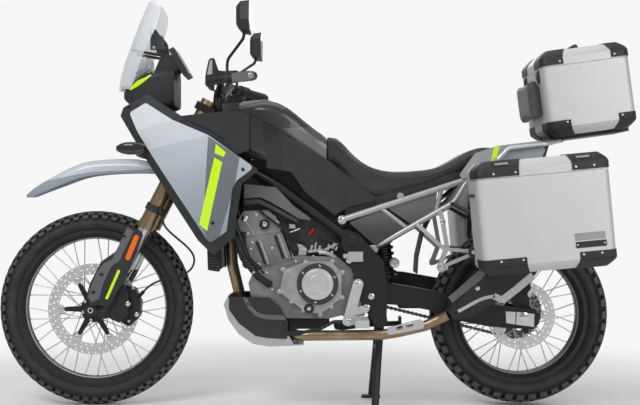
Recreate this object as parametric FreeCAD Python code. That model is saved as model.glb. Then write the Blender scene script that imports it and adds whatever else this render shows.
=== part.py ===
import FreeCAD, Part
import math
import os

# Adventure motorcycle with wire wheels, side cases and a top box, standing on its centre stand.
# Millimetres. X runs rearward, Y to the chain side, Z up. The origin is on the floor,
# under the middle of the outer size.

V = FreeCAD.Vector
Y_AXIS = V(0, 1, 0)

# Fits and clearances
seat_gap = 0.3
pin_gap = 0.4

# Wheels
wheelbase = 1505.0
front_axle_x = -770.0
front_tyre_radius = 345.0
front_tyre_half = 45.0
front_bead_radius = 268.0
front_bead_half = 27.0
bead_wall = 7.0
rear_tyre_radius = 317.0
rear_tyre_half = 70.0
rear_bead_radius = 230.0
rear_bead_half = 46.0
rear_wheel_lift = 6.0
tyre_wall = 18.0
lug_height = 6.0
lug_root = 3.0
lug_dip = 0.9
lug_count = 24
front_lug_rows = ((-0.26, 17.0, 34.0, 0.0), (0.26, 17.0, 34.0, 0.5), (-0.8, 16.0, 30.0, 0.5),
                  (0.8, 16.0, 30.0, 0.0))
rear_lug_rows = ((-0.27, 27.0, 36.0, 0.0), (0.27, 27.0, 36.0, 0.5), (-0.82, 26.0, 32.0, 0.5),
                 (0.82, 26.0, 32.0, 0.0))
rim_flange = 11.0
rim_depth = 19.0
rim_sheet = 3.5
spoke_count = 36
spoke_radius = 1.9
spoke_sweep = 58.0
hub_flange_radius = 48.0
hub_barrel_radius = 24.0
hub_flange_half = 33.0
axle_radius = 10.0
axle_bore_radius = 6.0
front_axle_z = front_tyre_radius
rear_axle_x = front_axle_x + wheelbase
rear_axle_z = rear_tyre_radius + rear_wheel_lift

# Brakes
disc_thickness = 4.5
front_disc_radius = 160.0
front_disc_inner = 120.0
rear_disc_radius = 120.0
rear_disc_inner = 86.0
disc_plane = -66.0
carrier_arms = 6
carrier_ring = 44.0
pad_gap = 1.5

# Steering head and fork
rake = math.radians(27.0)
head_x = -449.0
head_z = 840.0
fork_ahead = 26.0
fork_half = 100.0
fork_tube_radius = 27.0
fork_tube_low = -250.0
fork_tube_high = 250.0
stanchion_radius = 21.5
stanchion_low = -540.0
foot_radius = 25.0
stem_radius = 15.0
yoke_low = -15.0
yoke_high = 20.0
top_yoke_low = 205.0
top_yoke_high = 232.0
yoke_wall = 9.0
head_tube_radius = 27.0

# Handlebar
bar_radius = 11.0
grip_radius = 16.0
bar_half = 400.0
grip_length = 125.0
bar_clamp = V(-330, 0, 1100)
bar_bend = V(-305, 200, 1147)
bar_end = V(-193, bar_half, 1130)
bar_flat_half = 95.0

# Frame
spar_radius = 16.0
down_tube_radius = 12.0
plate_inner = 127.0
plate_outer = 139.0
seat_rest_x = 307.0
seat_rest_z = 742.0
shock_top = V(236, 0, 702.5)
shock_low = V(270, 0, 409.2)
rack_ears = ((640.0, 815.0, 112.0, 170.0), (784.0, 848.0, 96.0, 170.0), (485.0, 714.0, 125.0, 150.0))
coil_turns = 8
coil_pitch = 22.0
coil_wire = 6.5
pivot_x = 205.0
pivot_z = 395.0
pivot_pin_radius = 10.0
stand_pivot_x = 240.0
stand_pivot_z = 302.0
stand_pin_radius = 8.0
subframe_radius = 11.0
subframe_half = 125.0

# Swingarm and chain
arm_inner = 97.0
arm_outer = 123.0
chain_plane = 84.0
chain_half_width = 9.0
chain_half_height = 6.0
chain_waist = 2.2
chain_pitch = 15.875
front_sprocket_x = 158.0
front_sprocket_z = 400.0
front_sprocket_radius = 33.0
rear_sprocket_radius = 95.0

# Engine
case_half = 115.0
cylinder_half = 90.0
clutch_x = 19.0
clutch_z = 439.0

cover_bolts = ((-100.0, 488.0), (-112.0, 412.0), (-22.0, 514.0), (70.0, 516.0), (104.0, 478.0),
               (104.0, 392.0),
               (28.0, 331.0), (-30.0, 347.0), (-72.0, 378.0), (66.0, 360.0))

# Exhaust
pipe_radius = 18.0
pipe_far = 162.0
pipe_bend = V(444, -150, 319)
pipe_end = V(470, -163, 334)

# Stands
stand_tube = 13.0
stand_track = 140.0
stand_foot_x = 215.0
prop_pivot_x = 95.0
prop_pivot_z = 264.0
prop_pivot_y = 180.0
prop_length = 232.0

# Fairing
cowl_floor = 1052.0
screen_sheet = 4.5
panel_wall = 5.0
tank_shoulder = 172.0
radiator_half = 148.0
tail_outer = 146.0
tail_tube_x = 806.0
tail_tube_z = 859.0
seat_tube_z = 806.0
tank_pad_z = 896.0

side_cover_line = ((-170.0, 172.0), (-100.0, 171.0), (-40.0, 158.0), (20.0, 132.0), (100.0, 122.0),
                   (226.0, 125.0))

# Luggage
sheet = 2.0
side_case_length = 435.0
side_case_depth = 230.0
side_case_height = 308.0
side_case_lid = 56.0
side_case_inner = 250.0
side_case_tilt = 5.3
side_seam_x = 735.0
side_seam_z = 810.0
top_case_length = 312.0
top_case_width = 400.0
top_case_height = 238.0
top_case_lid = 56.0
top_case_tilt = 7.6
top_seam_x = 934.0
top_seam_z = 1200.0
case_chamfer = 42.0
lid_gap = 0.5

sin_rake = math.sin(rake)
cos_rake = math.cos(rake)
steer_axis = V(sin_rake, 0, cos_rake)
ahead_dir = V(-cos_rake, 0, sin_rake)


# General shapes

def steer(along, ahead, y):
    """Point placed along the steering axis, ahead of it and across it."""
    return V(head_x, y, head_z) + steer_axis * along + ahead_dir * ahead


def rod(start, end, radius, bore=0.0):
    """Round bar or tube between two points."""
    run = end - start
    bar = Part.makeCylinder(radius, run.Length, start, run)
    if bore > 0:
        bar = bar.cut(Part.makeCylinder(bore, run.Length, start, run))
    return bar


def cross_rod(x, z, y0, y1, radius, bore=0.0):
    """Round bar or tube that runs across the machine."""
    return rod(V(x, y0, z), V(x, y1, z), radius, bore)


def block(x0, x1, y0, y1, z0, z1):
    """Box between two corners."""
    return Part.makeBox(x1 - x0, y1 - y0, z1 - z0, V(x0, y0, z0))


def rounded_path(points, bend):
    """Wire of straight runs joined by tangent arcs."""
    edges = []
    start = points[0]
    for before, corner, after in zip(points, points[1:], points[2:]):
        back = before - corner
        forth = after - corner
        reach = 0.47 * min(back.Length, forth.Length)
        back.normalize()
        forth.normalize()
        half = back.getAngle(forth) / 2
        if half > math.radians(89.0):
            continue
        cut = min(bend / math.tan(half), reach)
        radius = cut * math.tan(half)
        middle = back + forth
        middle.normalize()
        first = corner + back * cut
        last = corner + forth * cut
        top = corner + middle * (radius / math.sin(half) - radius)
        edges.append(Part.LineSegment(start, first).toShape())
        edges.append(Part.Arc(first, top, last).toShape())
        start = last
    edges.append(Part.LineSegment(start, points[-1]).toShape())
    return Part.Wire(edges)


def bent_rod(points, radius, bend):
    """Round bar along a path with rounded corners."""
    path = rounded_path(points, bend)
    direction = points[1] - points[0]
    ring = Part.Wire([Part.Circle(points[0], direction, radius).toShape()])
    return path.makePipeShell([ring], True, False)


def side_face(outline, y, corner=0.0):
    """Flat face in a plane across Y, from X and Z pairs, with its corners rounded."""
    points = [V(x, y, z) for x, z in outline]
    if corner <= 0:
        return Part.Face(Part.makePolygon(points + [points[0]]))
    edges = []
    ends = []
    for i, point in enumerate(points):
        back = points[i - 1] - point
        forth = points[(i + 1) % len(points)] - point
        reach = 0.45 * min(back.Length, forth.Length)
        back.normalize()
        forth.normalize()
        half = back.getAngle(forth) / 2
        if half > math.radians(89.5):
            ends.append((point, None, point))
            continue
        cut = min(corner / math.tan(half), reach)
        radius = cut * math.tan(half)
        middle = back + forth
        middle.normalize()
        top = point + middle * (radius / math.sin(half) - radius)
        ends.append((point + back * cut, top, point + forth * cut))
    for i, (first, top, last) in enumerate(ends):
        if top is not None:
            edges.append(Part.Arc(first, top, last).toShape())
        edges.append(Part.LineSegment(last, ends[(i + 1) % len(ends)][0]).toShape())
    return Part.Face(Part.Wire(edges))


def side_plate(outline, y0, y1, corner=0.0):
    """Plate with its outline seen from the side, between two Y values."""
    return side_face(outline, y0, corner).extrude(V(0, y1 - y0, 0))


def bent_plate(line, thickness, y0, y1, corner=0.0):
    """Sheet that follows a line of X and Z pairs, thickened to the left of its direction."""
    count = len(line)
    inner = []
    for i in range(count):
        x0, z0 = line[max(i - 1, 0)]
        x1, z1 = line[min(i + 1, count - 1)]
        run = math.hypot(x1 - x0, z1 - z0)
        x, z = line[i]
        inner.append((x - (z1 - z0) / run * thickness, z + (x1 - x0) / run * thickness))
    return side_plate(line + inner[::-1], y0, y1, corner)


def strut(start, end, width, y0, y1):
    """Flat bar with round ends between two X, Z points, from y0 to y1 across."""
    run = V(end[0] - start[0], 0, end[1] - start[1])
    side = V(run.z, 0, -run.x)
    side.normalize()
    side = side * (width / 2)
    turns = ((start, 1), (end, 1), (end, -1), (start, -1))
    corners = [(p[0] + k * side.x, p[1] + k * side.z) for p, k in turns]
    bar = side_plate(corners, y0, y1)
    return joined([bar, cross_rod(*start, y0, y1, width / 2), cross_rod(*end, y0, y1, width / 2)])


def upright_wall(line, thickness, z0, z1):
    """Wall that stands on a line of X, Y points, thicker away from the middle plane."""
    points = [V(x, y, z0) for x, y in line]
    points += [V(x, y + thickness, z0) for x, y in reversed(line)]
    edges = [Part.LineSegment(p, q).toShape() for p, q in zip(points, points[1:] + points[:1])]
    return Part.Face(Part.Wire(edges)).extrude(V(0, 0, z1 - z0))


def cross_section(x, half, z0, z1, corner, lean=0.0, centre=0.0):
    """Rounded rectangle across the machine, its top shifted back by lean."""
    corner = min(corner, 0.49 * (z1 - z0), 0.95 * half)
    arc = corner * (1 - math.sqrt(0.5))
    edges = []

    def place(y, z):
        return V(x + lean * (z - z0) / (z1 - z0), centre + y, z)

    quarter = []
    for sy, sz in ((1, -1), (1, 1), (-1, 1), (-1, -1)):
        y = sy * half
        z = z1 if sz > 0 else z0
        side = place(y, z - sz * corner)
        flat = place(y - sy * corner, z)
        mid = place(y - sy * arc, z - sz * arc)
        quarter.append((flat, mid, side) if sy * sz < 0 else (side, mid, flat))
    for i, (first, mid, last) in enumerate(quarter):
        edges.append(Part.Arc(first, mid, last).toShape())
        edges.append(Part.LineSegment(last, quarter[(i + 1) % 4][0]).toShape())
    return Part.Wire(edges)


def loft(sections, ruled=False):
    """Solid through a row of closed sections."""
    return Part.makeLoft(sections, True, ruled)


def revolve_across(x, z, profile):
    """Ring or hub turned about a line across the machine, from radius and Y pairs."""
    points = [V(x, y, z + r) for r, y in profile]
    face = Part.Face(Part.makePolygon(points + [points[0]]))
    return face.revolve(V(x, 0, z), Y_AXIS, 360)


def mirrored(shape):
    """The same shape on the other side of the machine."""
    return shape.mirror(V(0, 0, 0), Y_AXIS)


def joined(shapes):
    """One solid from shapes that meet."""
    return shapes[0].multiFuse(shapes[1:]).removeSplitter()


def save(name, *shapes):
    """Write one named piece."""
    solids = [solid for shape in shapes for solid in shape.Solids]
    whole = solids[0] if len(solids) == 1 else Part.makeCompound(solids)
    whole.exportStep("parts/" + name + ".step")
    print(name, len(solids), whole.isValid(), round(whole.Volume / 1000), "cm3")
    return whole


# Wheels

def tyre(x, z, tip, half, bead, bead_half, flange):
    """Tyre section with its beads on the rim, turned about the axle."""
    shoulder = tip - 0.19 * half - 9
    wide = (bead + flange + shoulder) / 2
    inner = bead_half - bead_wall

    def at(r, y):
        return V(x, y, z + r)

    crown = tip - tyre_wall
    outer = [
        Part.LineSegment(at(bead, -bead_half), at(bead + flange, -bead_half)).toShape(),
        Part.Arc(at(bead + flange, -bead_half), at(wide, -half), at(shoulder, -0.86 * half)).toShape(),
        Part.Arc(at(shoulder, -0.86 * half), at(tip, 0), at(shoulder, 0.86 * half)).toShape(),
        Part.Arc(at(shoulder, 0.86 * half), at(wide, half), at(bead + flange, bead_half)).toShape(),
        Part.LineSegment(at(bead + flange, bead_half), at(bead, bead_half)).toShape(),
        Part.LineSegment(at(bead, bead_half), at(bead, inner)).toShape(),
        Part.LineSegment(at(bead, inner), at(bead + flange, inner)).toShape(),
        Part.Arc(at(bead + flange, inner), at(crown, 0), at(bead + flange, -inner)).toShape(),
        Part.LineSegment(at(bead + flange, -inner), at(bead, -inner)).toShape(),
        Part.LineSegment(at(bead, -inner), at(bead, -bead_half)).toShape(),
    ]
    return Part.Face(Part.Wire(outer)).revolve(V(x, 0, z), Y_AXIS, 360)


def lugs(x, z, tip, half, rows, count):
    """Tread blocks in rows, their tops on the arc from crown to shoulder."""
    sag = 0.19 * half + 9
    side = 0.86 * half
    arc = (side * side + sag * sag) / (2 * sag)
    blocks = []
    for place, width, length, shift in rows:
        lean = place * math.asin(side / arc)
        for k in range(count):
            corner = V(arc - lug_height - lug_root, -width / 2, -length / 2)
            lug = Part.makeBox(lug_height + lug_root - lug_dip, width, length, corner)
            lug.rotate(V(0, 0, 0), V(0, 0, 1), math.degrees(lean))
            lug.translate(V(tip - arc, 0, 0))
            lug.rotate(V(0, 0, 0), Y_AXIS, 360.0 * (k + shift) / count)
            lug.translate(V(x, 0, z))
            blocks.append(lug)
    return blocks


def rim(x, z, bead, bead_half, flange):
    """Drop centre rim that the beads sit in."""
    seat = bead - seat_gap
    side = bead_half + seat_gap
    floor = bead - rim_depth + rim_sheet
    under = bead - rim_depth - rim_sheet
    half = [
        (floor, 0.42 * side),
        (seat, 0.8 * side),
        (seat, side),
        (bead + flange, side),
        (bead + flange, side + rim_sheet),
        (seat - 3, side + rim_sheet),
        (under, 0.42 * side),
    ]
    profile = half + [(r, -y) for r, y in reversed(half)]
    return revolve_across(x, z, profile)


def hub(x, z, end_near, end_far):
    """Turned hub with two spoke flanges and a bore for the axle."""
    bore = axle_radius + pin_gap
    flange = hub_flange_radius
    barrel = hub_barrel_radius
    profile = [
        (bore, -end_near), (carrier_ring - 6, -end_near), (carrier_ring - 6, -end_near + 14),
        (flange - 8, -hub_flange_half - 8), (flange, -hub_flange_half - 4),
        (flange, -hub_flange_half + 4), (barrel, -hub_flange_half + 14),
        (barrel, hub_flange_half - 14), (flange, hub_flange_half - 4),
        (flange, hub_flange_half + 4), (flange - 8, hub_flange_half + 8),
        (carrier_ring - 6, end_far - 10), (carrier_ring - 6, end_far), (bore, end_far),
    ]
    return revolve_across(x, z, profile)


def spokes(x, z, rim_radius):
    """Crossed spokes from the hub flanges to the rim."""
    rods = []
    per_side = spoke_count // 2
    for side in (-1, 1):
        for k in range(per_side):
            turn = 360.0 * (k + 0.5 * (side > 0)) / per_side
            way = 1 if k % 2 else -1
            inward = 3.0 if k % 2 else -3.0
            low = math.radians(turn + way * spoke_sweep)
            high = math.radians(turn)
            root = hub_flange_radius - 5
            start = V(x + root * math.cos(low), side * (hub_flange_half - inward), z + root * math.sin(low))
            end = V(x + rim_radius * math.cos(high), side * (9 - inward), z + rim_radius * math.sin(high))
            rods.append(rod(start, end, spoke_radius))
    return rods


def wire_wheel(x, z, bead, bead_half, flange, end_near, end_far):
    """Rim, hub and spokes as one piece."""
    reach = bead - rim_depth - 1
    return joined([rim(x, z, bead, bead_half, flange), hub(x, z, end_near, end_far)] + spokes(x, z, reach))


def brake_disc(x, z, radius, inner):
    """Disc ring with its carrier arms, bolted to the hub."""
    y0 = disc_plane - disc_thickness / 2
    y1 = disc_plane + disc_thickness / 2
    ring = cross_rod(x, z, y0, y1, radius, inner)
    carrier = cross_rod(x, z, y0, y1, carrier_ring, hub_barrel_radius)
    pieces = [ring, carrier]
    for k in range(carrier_arms):
        arm = block(carrier_ring - 8, inner + 6, y0, y1, -9, 9)
        arm.rotate(V(0, 0, 0), Y_AXIS, 360.0 * k / carrier_arms + 20)
        arm.translate(V(x, 0, z))
        pieces.append(arm)
    return joined(pieces)


def chain_loop(grow):
    """Outline round both sprockets at a distance from the chain's pitch line."""
    r0 = front_sprocket_radius + grow
    r1 = rear_sprocket_radius + grow
    run_x = rear_axle_x - front_sprocket_x
    run_z = rear_axle_z - front_sprocket_z
    length = math.hypot(run_x, run_z)
    base = math.atan2(run_z, run_x)
    lean = math.acos((r0 - r1) / length)

    def at(cx, cz, radius, angle):
        return V(cx + radius * math.cos(angle), 0, cz + radius * math.sin(angle))

    up = base + lean
    down = base - lean
    front_top = at(front_sprocket_x, front_sprocket_z, r0, up)
    front_low = at(front_sprocket_x, front_sprocket_z, r0, down)
    front_nose = at(front_sprocket_x, front_sprocket_z, r0, base + math.pi)
    rear_top = at(rear_axle_x, rear_axle_z, r1, up)
    rear_low = at(rear_axle_x, rear_axle_z, r1, down)
    rear_end = at(rear_axle_x, rear_axle_z, r1, base)
    edges = [
        Part.Arc(front_low, front_nose, front_top).toShape(),
        Part.LineSegment(front_top, rear_top).toShape(),
        Part.Arc(rear_top, rear_end, rear_low).toShape(),
        Part.LineSegment(rear_low, front_low).toShape(),
    ]
    return Part.Face(Part.Wire(edges))


def make_wheels():
    """Both wheels with what turns with them."""
    hub_near = -disc_plane - disc_thickness / 2 - seat_gap
    front = (front_axle_x, front_axle_z)
    rear = (rear_axle_x, rear_axle_z)
    carcass = tyre(*front, front_tyre_radius - lug_height, front_tyre_half, front_bead_radius,
                   front_bead_half,
                   rim_flange)
    blocks = lugs(*front, front_tyre_radius, front_tyre_half, front_lug_rows, lug_count)
    save("front_tyre", carcass.multiFuse(blocks))
    save("front_wire_wheel", wire_wheel(*front, front_bead_radius, front_bead_half, rim_flange, hub_near,
                                        62.0))
    save("front_disc", brake_disc(*front, front_disc_radius, front_disc_inner))
    carcass = tyre(*rear, rear_tyre_radius - lug_height, rear_tyre_half, rear_bead_radius, rear_bead_half,
                   rim_flange)
    blocks = lugs(*rear, rear_tyre_radius, rear_tyre_half, rear_lug_rows, lug_count)
    save("rear_tyre", carcass.multiFuse(blocks))
    far_end = chain_plane - 4 - seat_gap
    save("rear_wire_wheel", wire_wheel(*rear, rear_bead_radius, rear_bead_half, rim_flange, hub_near,
                                       far_end))
    save("rear_disc", brake_disc(*rear, rear_disc_radius, rear_disc_inner))
    tip = rear_sprocket_radius - chain_half_height - 0.6
    sprocket = cross_rod(*rear, chain_plane - 4, chain_plane + 4, tip, hub_barrel_radius)
    windows = []
    for k in range(5):
        angle = math.radians(72.0 * k)
        cx = rear_axle_x + 58 * math.cos(angle)
        cz = rear_axle_z + 58 * math.sin(angle)
        windows.append(cross_rod(cx, cz, chain_plane - 5, chain_plane + 5, 15))
    save("rear_sprocket", sprocket.cut(Part.makeCompound(windows)))


# Steering

def make_fork():
    """Fork tubes, lower legs, yokes and axle."""
    gold = []
    legs = []
    for side in (-1, 1):
        y = side * fork_half
        outer = rod(steer(fork_tube_low, fork_ahead, y), steer(fork_tube_high, fork_ahead, y),
                    fork_tube_radius)
        lip = rod(steer(fork_tube_low, fork_ahead, y), steer(fork_tube_low + 30, fork_ahead, y),
                  fork_tube_radius + 2)
        gold.append(joined([outer, lip]))
        end = fork_tube_low - seat_gap
        inner = rod(steer(stanchion_low, fork_ahead, y), steer(end, fork_ahead, y), stanchion_radius)
        socket = rod(steer(-592, fork_ahead, y), steer(-505, fork_ahead, y), foot_radius)
        axle_mid = V(front_axle_x, y, front_axle_z)
        boss = rod(axle_mid - V(0, 20, 0), axle_mid + V(0, 20, 0), 24)
        web = Part.makeBox(36, 32, 48, V(-10, -16, -24))
        web.rotate(V(0, 0, 0), Y_AXIS, math.degrees(rake) + 90)
        web.translate(steer(-575, fork_ahead + 12, y))
        leg = joined([inner, socket, boss, web])
        leg = leg.cut(cross_rod(front_axle_x, front_axle_z, y - 30, y + 30, axle_radius + pin_gap))
        legs.append(leg)
    lug = side_plate([(-702, 470), (-672, 470), (-640, 400), (-640, 330), (-672, 300), (-715, 320)],
                     -fork_half - 12, -fork_half + 2, 8)
    lug = lug.cut(cross_rod(front_axle_x, front_axle_z, -200, 0, 40))
    legs[0] = joined([legs[0], lug])
    save("fork_tubes", *gold)
    save("fork_legs", *legs)
    axle = cross_rod(front_axle_x, front_axle_z, -fork_half - 26, fork_half + 26, axle_radius,
                     axle_bore_radius)
    spacer_far = cross_rod(front_axle_x, front_axle_z, 62.0 + seat_gap, fork_half - 20 - seat_gap, 16,
                           axle_radius)
    near_start = disc_plane - disc_thickness / 2 - seat_gap
    spacer_near = cross_rod(front_axle_x, front_axle_z, -fork_half + 20 + seat_gap, near_start, 16,
                            axle_radius)
    save("front_axle", joined([axle, spacer_far, spacer_near]))


def yoke(low, high, arm):
    """Clamp plate that holds both fork tubes and the stem."""
    outline = [
        V(-34, -30, 0), V(fork_ahead - arm, -fork_half + 5, 0), V(fork_ahead - arm, -fork_half - arm + 4, 0),
        V(fork_ahead + arm, -fork_half - arm + 4, 0), V(fork_ahead + arm, -fork_half + 20, 0),
        V(fork_ahead + 20, 0, 0),
        V(fork_ahead + arm, fork_half - 20, 0), V(fork_ahead + arm, fork_half + arm - 4, 0),
        V(fork_ahead - arm, fork_half + arm - 4, 0), V(fork_ahead - arm, fork_half - 5, 0), V(-34, 30, 0),
    ]
    points = [steer(low, p.x, p.y) for p in outline]
    face = Part.Face(Part.makePolygon(points + [points[0]]))
    plate = face.extrude(steer_axis * (high - low))
    holes = []
    for side in (-1, 1):
        y = side * fork_half
        holes.append(rod(steer(low - 5, fork_ahead, y), steer(high + 5, fork_ahead, y),
                         fork_tube_radius + seat_gap))
    return plate.cut(Part.makeCompound(holes))


def make_yokes():
    """Both yokes on the steering stem, with the handlebar risers."""
    arm = fork_tube_radius + yoke_wall
    low = yoke(yoke_low, yoke_high, arm)
    high = yoke(top_yoke_low, top_yoke_high, arm - 2)
    stem = rod(steer(yoke_low, 0, 0), steer(top_yoke_high, 0, 0), stem_radius)
    pieces = [low, high, stem]
    for side in (-1, 1):
        foot = V(bar_clamp.x - 8, side * 45, 1040)
        top = V(bar_clamp.x, side * 45, bar_clamp.z + 17)
        pieces.append(rod(foot, top, 17))
    body = joined(pieces)
    bar = cross_rod(bar_clamp.x, bar_clamp.z, -bar_flat_half, bar_flat_half, bar_radius + seat_gap)
    save("yokes", body.cut(bar))


def bar_point(fraction, side):
    """Point on the outer run of the handlebar, 0 at the bend and 1 at the end."""
    p = bar_bend + (bar_end - bar_bend) * fraction
    return V(p.x, side * p.y, p.z)


def make_handlebar():
    """Bar, grips, controls, guards and mirrors."""
    flat = V(bar_clamp.x, bar_flat_half, bar_clamp.z)
    half = [bar_end, bar_bend, flat]
    other = [V(p.x, -p.y, p.z) for p in reversed(half)]
    save("handlebar", bent_rod(half + other, bar_radius, 60))
    run = bar_end - bar_bend
    length = run.Length
    grips = []
    guards = []
    mirrors = []
    for side in (-1, 1):
        out = bar_point(1, side) - bar_point(0, side)
        out.normalize()
        inner = bar_point(1 - grip_length / length, side)
        tip = bar_point(1, side)
        bore = bar_radius + seat_gap
        grip = rod(inner, tip, grip_radius, bore)
        pod_start = bar_point(1 - (grip_length + 48) / length, side)
        pod = rod(pod_start, inner, 21, bore)
        perch_start = bar_point(1 - (grip_length + 85) / length, side)
        perch = rod(perch_start, pod_start, 17, bore)
        forward = V(-34, 0, 4)
        lever_root = perch_start + (pod_start - perch_start) * 0.5 + forward
        arm = rod(perch_start + (pod_start - perch_start) * 0.5 + V(-8, 0, 0), lever_root, 9)
        arm = arm.cut(rod(perch_start, pod_start, bore))
        lever_tip = tip + V(-44, -side * 22, -4)
        lever = bent_rod([lever_root, lever_root + (lever_tip - lever_root) * 0.3 + V(-12, 0, 0), lever_tip],
                         5.5, 60)
        grips.append(joined([grip, pod, perch, arm, lever]))
        end = tip + out * 12
        weight = rod(tip + out * seat_gap, end, 14)
        bow = [tip + out * 8, tip + out * 27 + V(-12, 0, -2), V(-290, side * 424, 1122),
               V(-338, side * 372, 1120), V(-352, side * 250, 1126), V(-320, side * 212, 1136)]
        strap = bent_rod(bow, 7, 45)
        shield_line = [(-262, 1104), (-345, 1099), (-358, 1120), (-336, 1190), (-316, 1190), (-300, 1146),
                       (-262, 1140)]
        shield = side_plate(shield_line, -440, 440, 10)
        curve_out = cylinder_shell(V(-180, side * 285, 1000), 175, 3.5, 300)
        shield = shield.common(curve_out).common(block(-380, -250, min(side * 205, side * 430),
                                                       max(side * 205, side * 430), 1000, 1300))
        guards.append(joined([weight, strap, shield]))
        base = (perch_start + pod_start) * 0.5 + V(0, 0, 17 + seat_gap)
        stalk = bent_rod([base, base + V(0, 0, 40), V(-222, side * 345, 1262), V(-222, side * 352, 1300)], 5,
                         30)
        mirrors.append(joined([stalk, mirror_head(side)]))
    save("hand_controls", *grips)
    save("handguards", *guards)
    save("mirrors", *mirrors)


def cylinder_shell(centre, radius, wall, height):
    """Upright round wall, used to bend a flat outline."""
    outer = Part.makeCylinder(radius, height, centre)
    return outer.cut(Part.makeCylinder(radius - wall, height, centre))


def mirror_head(side):
    """Mirror housing, thinner at its rim."""
    outline = [(-75, -50), (60, -50), (78, -20), (70, 42), (-50, 50), (-78, 25)]
    wires = []
    for x, scale in ((-243, 0.62), (-228, 0.94), (-200, 1.0)):
        points = [V(x, side * (376 + y * scale), 1326 + z * scale) for y, z in outline]
        edges = []
        for i, p in enumerate(points):
            edges.append(Part.LineSegment(p, points[(i + 1) % len(points)]).toShape())
        wires.append(Part.Wire(edges))
    return loft(wires, True)


def make_front_fender():
    """High front fender, a shell bolted under the lower yoke."""
    stations = [
        (-1016, 26, 738, 748), (-960, 50, 744, 789), (-903, 62, 762, 820), (-817, 68, 792, 859),
        (-691, 68, 808, 874), (-600, 68, 810, 870), (-548, 66, 812, 850),
    ]
    outer = loft([cross_section(x, h, z0, z1, 30) for x, h, z0, z1 in stations])
    wall = 4.0
    inner_stations = [(x, h - wall, z0 - 30, z1 - wall) for x, h, z0, z1 in stations]
    x, h, z0, z1 = inner_stations[0]
    inner_stations[0] = (x + 14, h, z0, z1)
    x, h, z0, z1 = inner_stations[-1]
    inner_stations[-1] = (x + 20, h, z0, z1 - 8)
    inner = loft([cross_section(x, h, z0, z1, 28) for x, h, z0, z1 in inner_stations])
    skin = outer.cut(inner)
    low = yoke_low - seat_gap
    front = steer(low, 58, 0)
    back = steer(low, 18, 0)
    root = side_plate([(front.x, front.z), (back.x, back.z), (back.x - 5, back.z - 9), (-520, 838),
                       (-575, 846),
                       (-575, 858)], -40, 40)
    save("front_fender", joined([skin, root]))


def make_fork_guards():
    """Plastic guards over the lower fork legs, wrapped round the front."""
    outline = [(-642, 642), (-583, 613), (-609, 543), (-651, 452), (-702, 361), (-768, 366), (-782, 392),
               (-770, 438), (-731, 515), (-672, 556)]
    guards = []
    for side in (-1, 1):
        y = side * fork_half
        radius = fork_tube_radius + 2 + 6
        outer = rod(steer(-600, fork_ahead, y), steer(-200, fork_ahead, y), radius + 3)
        inner = rod(steer(-610, fork_ahead, y), steer(-190, fork_ahead, y), radius)
        wrap = outer.cut(inner)
        keep = side_plate(outline, y - 60, y + 60, 14)
        near = y + side * 70
        keep = keep.common(block(-900, -500, min(y + side * 4, near), max(y + side * 4, near), 300, 700))
        plate = side_plate(outline, y + side * (radius + 3), y + side * radius, 14)
        boss = cross_rod(front_axle_x, front_axle_z, y - 30, y + 30, 24 + seat_gap)
        guards.append(joined([wrap.common(keep), plate]).cut(boss))
    low = steer(-184, fork_ahead, -fork_half)
    high = steer(-160, fork_ahead, -fork_half)
    start = hose_points[0]
    back = start - hose_points[1]
    back.normalize()
    ear = rod(start, start + back * 22, 7)
    bridge = rod(start + back * 12, steer(-172, fork_ahead, -fork_half), 6)
    collar = joined([rod(low, high, fork_tube_radius + 5), ear, bridge])
    collar = collar.cut(rod(steer(-300, fork_ahead, -fork_half), steer(-50, fork_ahead, -fork_half),
                            fork_tube_radius + seat_gap))
    save("fork_guards", *guards, collar)


def make_front_brake():
    """Caliper over the rear of the disc, and the hose held along the fork."""
    x, z = front_axle_x, front_axle_z
    y0 = disc_plane - 26
    y1 = disc_plane + 26
    outline = [(-664, 432), (-622, 420), (-600, 372), (-604, 322), (-640, 286), (-672, 300), (-650, 350)]
    body = side_plate(outline, y0, y1, 10)
    slot = cross_rod(x, z, disc_plane - disc_thickness / 2 - pad_gap,
                     disc_plane + disc_thickness / 2 + pad_gap,
                     front_disc_radius + 6)
    body = body.cut(slot)
    flange = side_plate([(-664, 430), (-640, 420), (-640, 310), (-662, 300)], -fork_half + 2 + seat_gap, y0,
                        4)
    end = hose_points[-1]
    inward = end - hose_points[-2]
    inward.normalize()
    banjo = rod(end, end + inward * 34, 6.5).cut(slot)
    save("front_caliper", joined([body, flange, banjo]))


# The brake hose, held by clips along the near fork leg

hose_radius = 3.6
hose_points = [
    V(-522, -134, 678), V(-517, -136, 649), V(-500, -137, 624), V(-465, -138, 594), V(-434, -138, 569),
    V(-411, -136, 541), V(-407, -134, 514), V(-419, -131, 487), V(-449, -127, 468), V(-493, -123, 457),
    V(-536, -118, 447), V(-571, -110, 428), V(-590, -98, 408),
]


def make_front_hose():
    """Brake hose from the clamp on the fork tube to the caliper."""
    edges = []
    start = hose_points[0]
    for before, corner, after in zip(hose_points, hose_points[1:], hose_points[2:]):
        back = before - corner
        forth = after - corner
        shorter = min(back.Length, forth.Length)
        back.normalize()
        forth.normalize()
        half = back.getAngle(forth) / 2
        cut = 0.45 * shorter
        radius = cut * math.tan(half)
        middle = back + forth
        middle.normalize()
        first = corner + back * cut
        last = corner + forth * cut
        top = corner + middle * (radius / math.sin(half) - radius)
        edges.append(Part.LineSegment(start, first).toShape())
        edges.append(Part.Arc(first, top, last).toShape())
        print("hose radius", round(radius))
        start = last
    edges.append(Part.LineSegment(start, hose_points[-1]).toShape())
    path = Part.Wire(edges)
    length = path.Length
    ring = Part.Wire([Part.Circle(hose_points[0], hose_points[1] - hose_points[0], hose_radius).toShape()])
    hose = path.makePipeShell([ring], True, False)
    print("hose length", round(length), "volume ratio", hose.Volume / (math.pi * hose_radius ** 2 * length))
    save("front_brake_hose", hose)


# Frame

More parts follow.
